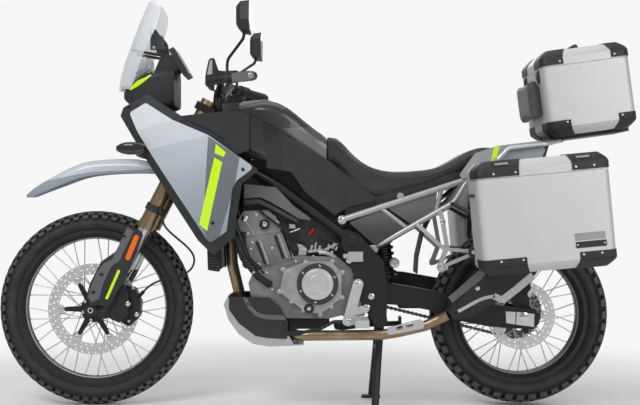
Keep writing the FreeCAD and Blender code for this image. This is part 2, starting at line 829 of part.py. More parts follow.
def make_main_frame():
    """Head tube, spars, down tubes and pivot plates."""
    head = rod(steer(yoke_high + 2, 0, 0), steer(top_yoke_low - 3, 0, 0), head_tube_radius)
    pieces = [head]
    for side in (-1, 1):
        spar = bent_rod([V(-395, side * 12, 930), V(-300, side * 60, 880), V(-125, side * 112, 786),
                         V(126, side * 114, 597)], spar_radius, 150)
        down = bent_rod([V(-412, side * 12, 905), V(-312, side * 55, 800), V(-272, side * 112, 650),
                         V(-225, side * 112, 520)], down_tube_radius, 120)
        foot = cross_rod(-225, 508, side * 100, side * 124, 18)
        outline = [(104, 632), (160, 612), (246, 520), (262, 430), (258, 330), (262, stand_pivot_z + 2),
                   (246, stand_pivot_z - 15), (222, stand_pivot_z - 13), (196, 330), (172, 360), (150, 450),
                   (102, 580)]
        plate = side_plate(outline, side * plate_inner, side * plate_outer, 14)
        lug = side_plate([(62, 640), (92, 672), (112, 674), (118, 655), (92, 615)], side * 104, side * 113, 8)
        pieces += [spar, down, foot, plate, lug]
    pieces.append(cross_rod(146, 590, -plate_inner - 2, plate_inner + 2, 12))
    pieces.append(cross_rod(pivot_x, pivot_z, -plate_outer, plate_outer, pivot_pin_radius))
    pieces.append(cross_rod(stand_pivot_x, stand_pivot_z, -plate_outer, plate_outer, stand_pin_radius))
    boss = cross_rod(prop_pivot_x, prop_pivot_z, prop_pivot_y - 24, prop_pivot_y - 12.5, 17)
    bridge = side_plate([(80, 250), (112, 248), (222, 262), (254, 290), (250, 330), (212, 330), (204, 292),
                         (84, 280)], plate_outer - 1, prop_pivot_y - 13, 8)
    pin = cross_rod(prop_pivot_x, prop_pivot_z, prop_pivot_y - 20, prop_pivot_y + 14, 7)
    tower = side_plate([(-415, 1000), (-428, 935), (-478, 972), (-560, 1040), (-560, cowl_floor - seat_gap),
                        (-505, cowl_floor - seat_gap), (-440, 990)], -20, 20)
    tower = tower.cut(rod(steer(yoke_high, 0, 0), steer(top_yoke_low, 0, 0), head_tube_radius - 4))
    for side in (-1, 1):
        pieces.append(rod(V(-236, side * 74, 845), V(-236, side * 74, tank_pad_z - seat_gap), 14))
    pieces += [boss, bridge, pin, tower]
    frame = joined(pieces)
    bore = rod(steer(0, 0, 0), steer(240, 0, 0), stem_radius + pin_gap)
    return save("main_frame", frame.cut(bore))


def make_subframe():
    """Rear frame that carries the tail, racks and luggage."""
    pieces = []
    r = subframe_radius
    for side in (-1, 1):
        y = side * subframe_half
        upper = bent_rod([V(104, y, 660), V(542, y, 801), V(700, side * 112, 838), V(812, side * 95, 860)],
                         r, 200)
        lower = bent_rod([V(209, side * 112, 558), V(494, y, 721), V(540, y, 796)], r, 60)
        end = cross_rod(104, 660, side * (113 + seat_gap), side * (subframe_half + 10), 15)
        eye = cross_rod(209, 558, side * (plate_inner - seat_gap), side * 100, 14)
        tie = rod(V(240, y, 700), V(333, side * 118, 630), 8)
        brace = rod(V(450, y, 768), V(430, side * 122, 688), 8)
        webs = [side_plate(line, side * (subframe_half - 5), side * (subframe_half - 1.5), 4) for line in
                ([(128, 650), (236, 694), (322, 632), (218, 572)],
                 [(262, 700), (434, 756), (428, 694), (345, 645)])]
        hanger_boss = cross_rod(442, 683, side * 112, side * (subframe_half + subframe_radius), 9)
        pieces += [upper, lower, end, eye, tie, brace, hanger_boss] + webs
        for x, z, y_in, y_out in rack_ears:
            pieces.append(cross_rod(x, z, side * y_in, side * y_out, 8))
    pieces.append(cross_rod(seat_rest_x, seat_rest_z, -subframe_half, subframe_half, 12))
    pieces.append(cross_rod(shock_top.x, shock_top.z, -subframe_half, subframe_half, subframe_radius))
    pieces.append(cross_rod(560, seat_tube_z, -subframe_half, subframe_half, 9))
    pieces.append(cross_rod(tail_tube_x, tail_tube_z, -95, 95, 9))
    return save("subframe", joined(pieces))


def make_swingarm():
    """Swingarm with its axle blocks, the shock and the rear brake."""
    outline = [(178, 392), (196, 420), (272, 440), (474, 404), (606, 366), (774, 350), (792, 330), (786, 296),
               (763, 279), (613, 289), (502, 310), (411, 345), (324, 362), (196, 370)]
    arms = []
    for side in (-1, 1):
        arms.append(side_plate(outline, side * arm_inner, side * arm_outer, 16))
    cross = side_plate([(300, 350), (300, 404), (360, 404), (392, 372), (384, 350)], -arm_inner - 2,
                       arm_inner + 2, 8)
    tube = cross_rod(pivot_x, pivot_z, -arm_inner - 2, arm_inner + 2, 19)
    pivot_hole = cross_rod(pivot_x, pivot_z, -200, 200, pivot_pin_radius + seat_gap)
    axle_hole = cross_rod(rear_axle_x, rear_axle_z, -200, 200, axle_radius + seat_gap)
    link = side_plate([(205, 376), (205, 412), (305, 396), (305, 360)], -30, 30, 0)
    arm = joined(arms + [cross, tube, link]).cut(pivot_hole).cut(axle_hole)
    save("swingarm", arm)
    axle = cross_rod(rear_axle_x, rear_axle_z, -arm_outer - 12, arm_outer + 12, axle_radius, axle_bore_radius)
    near = disc_plane - disc_thickness / 2 - seat_gap
    far = chain_plane + 4 + seat_gap
    spacer_near = cross_rod(rear_axle_x, rear_axle_z, -arm_inner + seat_gap, near, 17, axle_radius)
    spacer_far = cross_rod(rear_axle_x, rear_axle_z, far, arm_inner - seat_gap, 17, axle_radius)
    save("rear_axle", joined([axle, spacer_near, spacer_far]))


def make_shock():
    """Rear shock with its coil, between the cross tube and the swingarm link."""
    low = shock_low
    high = shock_top - V(0, 0, subframe_radius + seat_gap + 15 - 6)
    run = high - low
    length = run.Length
    profile = [(0, 16), (22, 16), (22, 40), (40, 40), (40, 50), (30, 50)]
    edges = []
    start = V(0, 0, 16)
    for r, h in profile[1:]:
        edges.append(Part.LineSegment(start, V(r, 0, h)).toShape())
        start = V(r, 0, h)
    for k in range(coil_turns):
        middle = 50 + coil_pitch * (k + 0.5)
        first = V(30, 0, middle - coil_wire)
        last = V(30, 0, middle + coil_wire)
        edges.append(Part.LineSegment(start, first).toShape())
        edges.append(Part.Arc(first, V(30 + coil_wire + 2, 0, middle), last).toShape())
        start = last
    top = 50 + coil_pitch * coil_turns
    for r, h in ((30, top), (40, top), (40, top + 10), (20, top + 10), (20, length - 14), (0, length - 14)):
        edges.append(Part.LineSegment(start, V(r, 0, h)).toShape())
        start = V(r, 0, h)
    edges.append(Part.LineSegment(start, V(0, 0, 16)).toShape())
    strut = Part.Face(Part.Wire(edges)).revolve(V(0, 0, 0), V(0, 0, 1), 360)
    strut.rotate(V(0, 0, 0), Y_AXIS, math.degrees(math.atan2(run.x, run.z)))
    strut.translate(low)
    eye_low = cross_rod(low.x, low.z + 8, -16, 16, 15)
    eye_high = cross_rod(high.x, high.z - 6, -16, 16, 15)
    return joined([strut, eye_low, eye_high])


def make_drive():
    """Chain loop and the sprocket on the gearbox."""
    pitch_line = chain_loop(0).OuterWire
    count = 2 * round(pitch_line.Length / chain_pitch)
    middle = pitch_line.discretize(Number=count + 1)[:-1]
    outer = []
    inner = []
    for k, point in enumerate(middle):
        way = middle[(k + 1) % count] - middle[k - 1]
        square = V(way.z, 0, -way.x)
        square.normalize()
        reach = chain_half_height if k % 2 else chain_half_height - chain_waist
        outer.append(point + square * reach)
        inner.append(point - square * reach)
    faces = []
    for line in (outer, inner):
        faces.append(Part.Face(Part.makePolygon(line + line[:1])).extrude(V(0, 2 * chain_half_width, 0)))
    chain = max(faces, key=lambda shape: shape.Volume).cut(min(faces, key=lambda shape: shape.Volume))
    chain.translate(V(0, chain_plane - chain_half_width, 0))
    tip = front_sprocket_radius - chain_half_height - seat_gap
    sprocket = cross_rod(front_sprocket_x, front_sprocket_z, chain_plane - 10, chain_plane + 4, tip)
    save("drive_chain", chain, sprocket)


def make_rear_brake():
    """Rear caliper on its bracket above the axle."""
    x, z = rear_axle_x, rear_axle_z
    outline = [(690, 404), (684, 438), (720, 452), (760, 448), (768, 420), (752, 398)]
    body = side_plate(outline, disc_plane - 22, disc_plane + 20, 8)
    slot = cross_rod(x, z, disc_plane - disc_thickness / 2 - pad_gap,
                     disc_plane + disc_thickness / 2 + pad_gap,
                     rear_disc_radius + 5)
    plate = side_plate([(700, 356), (700, 410), (752, 410), (760, 356), (748, 352), (712, 352)],
                       -arm_inner + seat_gap, disc_plane - 12, 6)
    body = joined([body.cut(slot), plate])
    save("rear_caliper", body)


# Engine

def make_engine():
    """Crankcase, cylinders and side covers of the upright twin."""
    outline = [(-222, 440), (-205, 350), (-160, 318), (60, 316), (122, 332), (150, 400), (142, 486),
               (88, 530),
               (-62, 534), (-70, 518), (-205, 480)]
    case = side_plate(outline, -case_half, case_half, 12)
    pocket = block(108, 220, 68, 200, front_sprocket_z - 60, front_sprocket_z + 60)
    case = case.cut(pocket)
    case = case.cut(cross_rod(-225, 508, -130, 130, 18 + seat_gap))
    case = case.cut(cross_rod(front_sprocket_x, front_sprocket_z, 60, 200, 46))
    shaft = cross_rod(front_sprocket_x, front_sprocket_z, 60, chain_plane - 10 - seat_gap, 12)
    neck = block(130, 160, 56, 68, 388, 412)
    case = joined([case, shaft, neck])
    save("crankcase", case)
    barrel = side_plate([(-204, 480 + seat_gap), (-70, 518 + seat_gap), (-103, 606), (-112, 620), (-238, 596),
                         (-232, 560)], -cylinder_half, cylinder_half, 6)
    head = side_plate([(-250, 596), (-104, 620), (-128, 672), (-158, 694), (-240, 690), (-266, 650)],
                      -cylinder_half - 4, cylinder_half + 4, 12)
    ribs = []
    for side in (-1, 1):
        y0 = side * (cylinder_half - 4)
        ribs.append(strut((-186, 592), (-155, 508), 11, y0, side * (cylinder_half + 6)))
        ribs.append(strut((-118, 606), (-92, 534), 11, y0, side * (cylinder_half + 6)))
        ribs.append(cross_rod(-165, 645, y0, side * (cylinder_half + 12), 13))
        ribs.append(strut((-240, 668), (-206, 620), 9, y0, side * (cylinder_half + 8)))
    top_end = joined([barrel, head] + ribs)
    save("cylinders", top_end)
    cover_outline = [(-97, 487), (-20, 516), (67, 516), (101, 478), (101, 391), (28, 333), (-29, 348),
                     (-111, 410)]
    near = -case_half - seat_gap
    clutch = joined([
        side_plate(cover_outline, near - 32, near, 22),
        cross_rod(clutch_x, clutch_z, near - 44, near - 30, 72),
        cross_rod(clutch_x, clutch_z, near - 50, near - 42, 54),
    ] + [cross_rod(x, z, near - 20, near, 9) for x, z in cover_bolts])
    far = case_half + seat_gap
    generator = joined([
        side_plate([(-130, 500), (-20, 515), (40, 480), (50, 400), (0, 340), (-92, 364), (-150, 430)], far,
                   far + 18, 24),
        cross_rod(-50, 430, far + 16, far + 34, 68),
    ])
    save("engine_covers", clutch, generator)
    intake = side_plate([(-88, 572), (-98, 640), (-60, 690), (60, 640), (92, 588), (80, 545), (-58, 548)],
                        -80, 80, 14)
    throats = [rod(V(-40, y, 618), V(-150, y, 650), 21) for y in (-42, 42)]
    away = top_end.copy()
    away.translate(V(seat_gap, 0, 0))
    battery = side_plate([(128, 662), (182, 712), (226, 724), (307, 742), (408, 768), (436, 764), (428, 700),
                          (345, 650), (222, 590)], -106, 106, 6)
    battery = battery.cut(block(180, 312, -50, 50, 560, 800))
    battery = battery.cut(cross_rod(seat_rest_x, seat_rest_z, -130, 130, 12 + seat_gap))
    battery = battery.cut(cross_rod(shock_top.x, shock_top.z, -130, 130, subframe_radius + seat_gap))
    save("airbox", joined([intake] + throats).cut(joined([top_end, away])).cut(case), battery)


def make_radiator():
    """Radiator ahead of the cylinders, in a plain frame."""
    core = side_plate([(-354, 490), (-324, 484), (-334, 773), (-364, 770)], -134, 134)
    pieces = [core]
    for side in (-1, 1):
        pieces.append(side_plate([(-360, 486), (-318, 480), (-328, 777), (-370, 775)], side * 134,
                                 side * radiator_half, 6))
        pieces.append(rod(V(-330, side * 112, 640), V(-272.7 - down_tube_radius - seat_gap, side * 112, 640),
                          9))
    hose = bent_rod([V(-345, -141, 600), V(-262, -142, 602), V(-240, -142, 530), V(-187, -142, 464),
                     V(-150, -142, 438)], 12, 30)
    stub = cross_rod(-150, 438, -148, -case_half - seat_gap, 13)
    return save("radiator", joined(pieces + [hose, stub]))


def make_exhaust():
    """Header pipes, collector and pipe to the silencer."""
    pipes = []
    for side in (-1, 1):
        port = V(-258, side * 42, 623)
        out = V(-54, 0, -16)
        out.normalize()
        pipes.append(bent_rod([port + out * seat_gap, port + out * 34, V(-286, side * 42, 500),
                               V(-262, side * 36, 400), V(-238, side * 22, 300), V(-190, side * 8, 262)], 17,
                              32))
    run = [V(-205, 0, 262), V(-130, -30, 260), V(-40, -128, 258), V(100, -130, 258), V(240, -131, 261),
           V(305, -133, 272), V(392, -138, 293), pipe_bend, pipe_end]
    main = bent_rod(run, pipe_radius, 60)
    shield = side_plate([(255, 272), (262, 290), (372, 319), (390, 305), (382, 287), (268, 264)],
                        -pipe_far - 3, -pipe_far, 5)
    shield = shield.cut(strut((296, 287), (306, 290), 13, -200, -100)).cut(strut((330, 296), (342, 299), 13,
                                                                                 -200, -100))
    bosses = [cross_rod(274, 277, -pipe_far, -130, 6), cross_rod(374, 302, -pipe_far, -136, 6)]
    grown = bent_rod(run, pipe_radius + seat_gap, 60)
    save("exhaust_pipe", joined(pipes + [main]), joined([shield] + bosses).cut(grown))
    sections = []
    direction = V(math.cos(math.radians(36)), 0, math.sin(math.radians(36)))
    start = V(472, -166, 336)
    for reach, high, wide, y in ((0, 22, 22, -166), (26, 38, 38, -172), (90, 52, 52, -180),
                                 (160, 56, 54, -180),
                                 (330, 52, 52, -180), (350, 40, 42, -180)):
        ring = cross_section(0, wide, -high, high, 24)
        ring.rotate(V(0, 0, 0), Y_AXIS, -36)
        ring.translate(V(start.x, y, start.z) + direction * reach)
        sections.append(ring)
    body = loft(sections)
    tail_start = V(start.x, -180, start.z) + direction * 345
    tail = rod(tail_start, tail_start + direction * 40, 17)
    can = joined([body, tail])
    near = subframe_half + subframe_radius + 2 * seat_gap + 10
    lug = side_plate([(542, 538), (544, 560), (570, 562), (604, 500), (580, 470), (560, 500)], -near - 8,
                     -near, 6)
    inlet = rod(pipe_bend, pipe_end + (pipe_end - pipe_bend) * 0.5, pipe_radius + seat_gap)
    save("silencer", joined([can, lug]).cut(inlet))


def make_skid_plate():
    """Bent sheet under the engine with plastic sides."""
    line = [(-292, 396), (-307, 367), (-290, 313), (-255, 264), (-206, 230), (-148, 220), (-30, 225)]
    posts = [rod(V(-62, y, 226), V(-62, y, 316.6), 9) for y in (-48, 66)]
    band = [(-292, 396), (-305, 367), (-288, 313), (-253, 265), (-205, 232), (-148, 222), (-62, 225),
            (-80, 257),
            (-90, 256), (-187, 262), (-244, 300), (-276, 348)]
    flanges = [side_plate(band, side * 126, side * 132) for side in (-1, 1)]
    save("skid_plate", joined([bent_plate(line, 4, -132, 132)] + posts + flanges))
    side_line = [(-288, 394), (-288, 350), (-254, 302), (-196, 258), (-150, 250), (-86, 247), (-84, 308),
                 (-110, 357), (-148, 391)]
    wings = [side_plate(side_line, side * (132 + seat_gap), side * 138, 6) for side in (-1, 1)]
    save("skid_sides", *wings)


# Bodywork

def make_tank():
    """Fuel tank with shoulders beside the steering head."""
    stations = [(-262, 150, 905, 1062), (-200, 166, 868, 1070), (-120, 168, 845, 1068), (-40, 150, 812, 1020),
                (20, 122, 770, 975), (50, 112, 742, 952)]
    body = loft([cross_section(x, h, z0, z1, 46) for x, h, z0, z1 in stations])
    pieces = [body]
    for side in (-1, 1):
        outline = [(-465, 1016), (-452, 988), (-404, 926), (-262, 884), (-215, 900), (-215, 1032),
                   (-300, 1034)]
        pieces.append(side_plate(outline, side * (tank_shoulder - 25), side * tank_shoulder, 10))
    tank = joined(pieces).cut(block(-290, -212, -96, 96, tank_pad_z - 60, tank_pad_z))
    save("fuel_tank", tank)
    cap = rod(V(-192, 0, 1071), V(-190, 0, 1088), 52)
    save("tank_cap", cap.cut(tank))
    return tank


def make_seat(tank):
    """One cushion for rider and passenger."""
    stations = [(50.4, 108, 850, 958), (132, 112, 794, 897), (232, 120, 735, 833), (307, 128, 754, 826),
                (408, 130, 780, 834), (483, 128, 818, 862), (549, 124, 838, 898), (609, 120, 852, 911),
                (744, 112, 874, 924)]
    seat = loft([cross_section(x, h, z0, z1, 22) for x, h, z0, z1 in stations])
    rest = cross_rod(seat_rest_x, seat_rest_z, -200, 200, 12 + seat_gap)
    away = tank.copy()
    away.translate(V(seat_gap, 0, 0))
    save("seat", seat.cut(rest).cut(tank).cut(away))


def make_side_covers(tank):
    """Black covers that run from the tank down to the rear of the seat."""
    outline = [(-165, 998), (60, 864), (222, 736), (208, 724), (131, 706), (79, 676), (-20, 752), (-72, 826),
               (-155, 838)]
    covers = []
    for side in (-1, 1):
        line = [(x, side * y) for x, y in side_cover_line]
        wall = upright_wall(line, side * 4, 660, 1010).common(side_plate(outline, side * 90, side * 190, 6))
        tank_boss = cross_rod(-60, 880, side * 120, side * 162, 10)
        frame_boss = cross_rod(60, 706, side * 110, side * 126, 9)
        away = tank.copy()
        away.translate(V(0, side * seat_gap, 0))
        covers.append(joined([wall, tank_boss, frame_boss]).cut(tank).cut(away))
    save("side_covers", *covers)


def shroud_shell(depth, wall):
    """Curved wall that the side panels are cut from, widest beside the radiator."""
    sections = []
    for z, inset in ((480, 46), (700, 16), (900, 0), (1120, 22)):
        half = 216 - inset + depth
        front = V(-720, half - 78, z)
        middle = V(-400, half, z)
        rear = V(-120, half - 34, z)
        outer = Part.Arc(front, middle, rear).toShape()
        shift = V(0, -wall, 0)
        inner = Part.Arc(front + shift, middle + shift, rear + shift).toShape()
        sections.append(Part.Wire([
            outer, Part.LineSegment(rear, rear + shift).toShape(), inner,
            Part.LineSegment(front + shift, front).toShape(),
        ]))
    return loft(sections)


panel_outline = [(-627, 1028), (-569, 1061), (-474, 1001), (-350, 948), (-197, 840), (-255, 795), (-271, 766),
                 (-292, 621), (-350, 580), (-544, 878), (-598, 964)]
surround_outline = [(-660, 1018), (-650, 1047), (-565, 1092), (-445, 1014), (-181, 832), (-239, 783),
                    (-259, 663),
                    (-263, 605), (-338, 538), (-390, 590), (-575, 880)]


def make_side_panels():
    """Light panels over dark ones, on both sides of the tank."""
    light = shroud_shell(panel_wall + seat_gap, panel_wall).common(side_plate(panel_outline, 0, 300, 12))
    dark = shroud_shell(0, panel_wall).common(side_plate(surround_outline, 0, 300, 8))
    inside = shroud_shell(-1, 60)
    tank_boss = cross_rod(-400, 956, tank_shoulder + seat_gap, 230, 9).common(inside)
    radiator_boss = cross_rod(-343, 620, radiator_half + seat_gap, 230, 8).common(inside)
    dark = joined([dark, tank_boss, radiator_boss])
    save("side_panels", light, mirrored(light))
    save("panel_surrounds", dark, mirrored(dark))


def screen_wall(front_shift, back_shift):
    """Curved screen between two shifts along the machine."""
    sections = []
    for z, front, edge, half in ((1118, -690, -640, 88), (1200, -674, -606, 116), (1290, -642, -566, 128),
                                 (1370, -612, -536, 112), (1434, -584, -556, 62)):
        near = V(front_shift, 0, 0)
        far = V(back_shift, 0, 0)
        left = V(edge, -half, z)
        right = V(edge, half, z)
        middle = V(front, 0, z)
        sections.append(Part.Wire([
            Part.Arc(left + near, middle + near, right + near).toShape(),
            Part.LineSegment(right + near, right + far).toShape(),
            Part.Arc(right + far, middle + far, left + far).toShape(),
            Part.LineSegment(left + far, left + near).toShape(),
        ]))
    return loft(sections)


def make_nose():
    """Cowl, lamp, screen and instruments, all fixed to the frame."""
    stations = [(-664, 60, 1084, 1112), (-630, 92, 1058, 1142), (-585, 112, 1046, 1170),
                (-530, 118, 1046, 1180),
                (-482, 104, 1060, 1186)]
    cowl = loft([cross_section(x, h, z0, z1, 24) for x, h, z0, z1 in stations])
    cowl = cowl.cut(block(-640, -470, -24, 24, cowl_floor - 40, cowl_floor))
    face = [(-470.4, 1195.8), (-495.8, 1239.8)]
    keep_out = screen_wall(-60, screen_sheet + seat_gap)
    pieces = [cowl]
    for side in (-1, 1):
        pieces.append(side_plate([(-560, 1160), (-500, 1160)] + face + [(-528, 1250), (-560, 1175)],
                                 side * 56, side * 62, 0))
        pieces.append(rod(V(-518, side * 59, 1236), V(-660, side * 62, 1262), 5))
        pieces.append(rod(V(-620, side * 52, 1118), V(-700, side * 56, 1128), 7))
    cowl = joined(pieces).cut(keep_out)
    save("nose_cowl", cowl)
    lamp = loft([cross_section(x, h, z0, z1, 20) for x, h, z0, z1 in
                 ((-648, 40, 1152, 1176), (-630, 52, 1148, 1214), (-606, 52, 1172, 1226),
                  (-572, 50, 1180, 1226))])
    foot = block(-626, -598, -22, 22, cowl_floor + 60, 1184)
    away = cowl.copy()
    away.translate(V(0, 0, seat_gap))
    save("headlamp", joined([lamp, foot]).cut(cowl).cut(away).cut(keep_out))
    save("windscreen", screen_wall(0, screen_sheet))
    screen = Part.makeBox(20, 172, 104, V(-10, -86, -52))
    screen.rotate(V(0, 0, 0), Y_AXIS, -30)
    screen.translate(V(-470, 0, 1216))
    save("display", screen)


def make_tail():
    """Tail panels, rear fender and lamps."""
    outline = [(498, 800), (563, 890), (640, 916), (792, 934), (806, 900), (790, 868), (640, 826)]
    panels = [side_plate(outline, side * (subframe_half + subframe_radius + seat_gap), side * tail_outer,
                         10) for side in (-1, 1)]
    save("tail_panels", *panels)
    low = tail_tube_z - 9 - seat_gap
    line = [(366, 470), (370, 530), (388, 610), (440, 720), (520, 788), (560, seat_tube_z - 9 - seat_gap),
            (tail_tube_x, low), (880, low - 3), (960, 690), (975, 610)]
    fender = bent_plate(line[::-1], 4, -80, 80)
    save("rear_fender", fender)
    top = low + seat_gap
    tail = side_plate([(828, top - 0.8), (878, top - 2.8), (884, top + 20), (880, top + 34),
                       (828, top + 30)], -55, 55, 4)
    front = []
    for side in (-1, 1):
        oval = loft([cross_section(x, h, 904 - v, 904 + v, 14, 0, side * 214) for x, h, v in
                     ((-664, 8, 8), (-640, 17, 19), (-600, 18, 21), (-569, 12, 14))])
        keep_out = shroud_shell(seat_gap, 60)
        stalk = cross_rod(-576, 904, 150, 214, 6).cut(keep_out)
        front.append(joined([oval, stalk if side > 0 else mirrored(stalk)]))
    save("lamps", *front, tail)


def make_racks():
    """Top rack with grab rails, and the loops that hold the side cases."""
    tilt = math.radians(top_case_tilt)
    plate = block(-140, 140, -105, 105, -12, 0)
    plate.rotate(V(0, 0, 0), Y_AXIS, -top_case_tilt)
    drop = top_case_height + seat_gap
    base = V(top_seam_x + drop * math.sin(tilt), 0, top_seam_z - drop * math.cos(tilt))
    plate.translate(base)
    pieces = [plate]
    for side in (-1, 1):
        rail = bent_rod([V(640, side * 158, 868), V(676, side * 158, 906), V(806, side * 156, 922),
                         V(872, side * 96, 938)], 8, 40)
        foot = cross_rod(640, 870, side * (tail_outer + seat_gap), side * 160, 9)
        post = rod(V(806.3, side * 92.1, 872.1), V(826, side * 88, 936), 8)
        pieces += [rail, foot, post]
    save("luggage_rack", joined(pieces))
    loops = []
    for side in (-1, 1):
        y = side * (side_case_inner - 8 - seat_gap)
        corners = [(600, 790), (590, 560), (905, 588), (905, 812)]
        points = [V(x, y, z) for x, z in corners]
        middle = (points[0] + points[3]) * 0.5
        loop = bent_rod([middle] + points[:3] + [points[3], middle + V(1, 0, 0.1)], 8, 40)
        pieces = [loop]
        for x, z, _, y_out in rack_ears:
            start = V(x, side * (y_out + seat_gap), z)
            turn = start + V(0, side * 14, 0)
            rail = 790 + 22 * (x - 600) / 305
            edge = V(x, y, rail) if x > 600 else V(596, y, 655)
            pieces.append(bent_rod([start, turn, edge], 7, 12))
        loops.append(joined(pieces))
    save("side_racks", *loops)


# Luggage

def tilted(shape, x, z, tilt):
    """Turn a case from its own frame to its place."""
    shape.rotate(V(0, 0, 0), Y_AXIS, -tilt)
    shape.translate(V(x, 0, z))
    return shape


def case_shape(length, y0, y1, z0, z1, low_cut, high_cut):
    """Outer form of a case with its ends cut off at the corners."""
    half = length / 2
    outline = [(-half + low_cut, z0), (half - low_cut, z0), (half, z0 + low_cut), (half, z1 - high_cut),
               (half - high_cut, z1), (-half + high_cut, z1), (-half, z1 - high_cut), (-half, z0 + low_cut)]
    clean = [p for i, p in enumerate(outline) if p != outline[i - 1]]
    return side_plate(clean, y0, y1)


def case_pair(length, y0, y1, height, lid, cut):
    """Open case below the seam and its lid above, both of sheet."""
    body = case_shape(length, y0, y1, -height, 0, cut, 0)
    hollow = case_shape(length - 2 * sheet, y0 + sheet, y1 - sheet, -height + sheet, 60, cut - sheet * 0.6, 0)
    cover = case_shape(length, y0, y1, lid_gap, lid, 0, cut)
    under = case_shape(length - 2 * sheet, y0 + sheet, y1 - sheet, lid_gap - 60, lid - sheet, 0,
                       cut - sheet * 0.6)
    return body.cut(hollow), cover.cut(under)


def make_cases():
    """Two side cases and the top box, with their lids."""
    body, lid = case_pair(side_case_length, -side_case_inner - side_case_depth, -side_case_inner,
                          side_case_height, side_case_lid, case_chamfer)
    body = tilted(body, side_seam_x, side_seam_z, side_case_tilt)
    lid = tilted(lid, side_seam_x, side_seam_z, side_case_tilt)
    save("side_case_near", body)
    save("side_case_far", mirrored(body))
    save("side_lid_near", lid)
    save("side_lid_far", mirrored(lid))
    half = top_case_width / 2
    body, lid = case_pair(top_case_length, -half, half, top_case_height, top_case_lid, case_chamfer)
    save("top_case", tilted(body, top_seam_x, top_seam_z, top_case_tilt))
    save("top_lid", tilted(lid, top_seam_x, top_seam_z, top_case_tilt))
    pad = block(-36, -seat_gap, -130, 130, -150, -10)
    pad = pad.makeFillet(14, pad.Edges)
    pad.translate(V(-top_case_length / 2, 0, -20))
    save("backrest_pad", tilted(pad, top_seam_x, top_seam_z, top_case_tilt))


# Feet and stands

def make_footrests():
    """Rider's brackets with pegs, and the passenger's hangers."""
    pieces = []
    for side in (-1, 1):
        y0 = side * (plate_outer + seat_gap)
        y1 = side * (plate_outer + 14)
        arm = joined([strut((159, 438), (125, 311), 36, y0, y1), strut((134, 340), (184, 352), 26, y0, y1),
                      strut((125, 308), (184, 310), 22, y0, y1)])
        peg = block(146, 192, min(side * 150, side * 286), max(side * 150, side * 286), 300, 326)
        pieces.append(joined([arm, peg]))
        near = subframe_half + subframe_radius + seat_gap
        bars = [((446, 684), (468, 562), 15), ((366, 642), (456, 560), 13), ((464, 560), (440, 496), 17),
                ((466, 558), (556, 551), 12), ((442, 494), (552, 540), 11), ((556, 548), (560, 550), 30)]
        hang = joined([strut(p, q, width, side * near, side * (near + 10)) for p, q, width in bars])
        peg2 = cross_rod(450, 500, side * (subframe_half + 20), side * (subframe_half + 100), 11)
        pieces.append(joined([hang, peg2]))
    pedal = joined([
        bent_rod([V(118, -172, 311), V(75, -172, 311), V(30, -180, 288), V(-40, -190, 274)], 6, 30),
        block(-84, -38, -204, -176, 266, 282),
        cross_rod(118, 311, -178, -plate_outer - 14 - seat_gap, 13),
    ])
    shifter = joined([
        bent_rod([V(70, 168, 332), V(20, 172, 326), V(-50, 178, 330)], 6, 30),
        cross_rod(-50, 330, 170, 206, 9),
        cross_rod(70, 332, case_half + seat_gap, 176, 11),
    ])
    save("foot_controls", *pieces, pedal, shifter)


def make_stands():
    """Centre stand under the frame and side stand on the chain side."""
    inner = plate_inner - seat_gap - 0.7
    tube = cross_rod(stand_pivot_x, stand_pivot_z, -inner, inner, 14, stand_pin_radius + pin_gap)
    pieces = [tube]
    for side in (-1, 1):
        leg = bent_rod([V(stand_pivot_x, side * 84, stand_pivot_z - 6), V(232, side * 84, 190),
                        V(stand_foot_x + 3, side * stand_track, 14)], stand_tube, 120)
        pad = block(stand_foot_x - 34, stand_foot_x + 34, side * stand_track - 16, side * stand_track + 16,
                    0, 10)
        pieces += [leg, pad]
    pieces.append(cross_rod(233, 200, -84, 84, 10))
    stand = joined(pieces)
    stand = stand.cut(cross_rod(stand_pivot_x, stand_pivot_z, -200, 200, stand_pin_radius + pin_gap))
    stand = stand.cut(block(-500, 800, -300, 300, -50, 0))
    save("centre_stand", stand)
    y = prop_pivot_y
    eye = cross_rod(prop_pivot_x, prop_pivot_z, y - 11, y + 11, 16, 7 + pin_gap)
    leg = bent_rod([V(prop_pivot_x + 12, y, prop_pivot_z), V(prop_pivot_x + 150, y + 2, prop_pivot_z + 2),
                    V(prop_pivot_x + prop_length, y + 14, prop_pivot_z + 4)], 10, 300)
    foot = block(prop_pivot_x + prop_length - 6, prop_pivot_x + prop_length + 4, y - 10, y + 40,
                 prop_pivot_z - 26, prop_pivot_z + 30)
    side_stand = joined([eye, leg, foot])
    save("side_stand", side_stand.cut(cross_rod(prop_pivot_x, prop_pivot_z, y - 40, y + 40, 7 + pin_gap)))


def main():
    """Build every piece of the motorcycle."""
    os.makedirs("parts", exist_ok=True)
    make_wheels()
    make_fork()
    make_yokes()
    make_handlebar()
    make_front_fender()
    make_fork_guards()
    make_front_brake()
    make_front_hose()
    make_main_frame()
    make_subframe()
    make_swingarm()
    save("rear_shock", make_shock())
    make_drive()
    make_rear_brake()
    make_engine()
    make_radiator()
    make_exhaust()
    make_skid_plate()
    tank = make_tank()
    make_seat(tank)
    make_side_covers(tank)
    make_side_panels()
    make_nose()
    make_tail()
    make_racks()
    make_cases()
    make_footrests()
    make_stands()


main()
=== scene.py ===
import math

import bmesh
import bpy
import numpy as np
from mathutils import Matrix, Vector
from mathutils.bvhtree import BVHTree


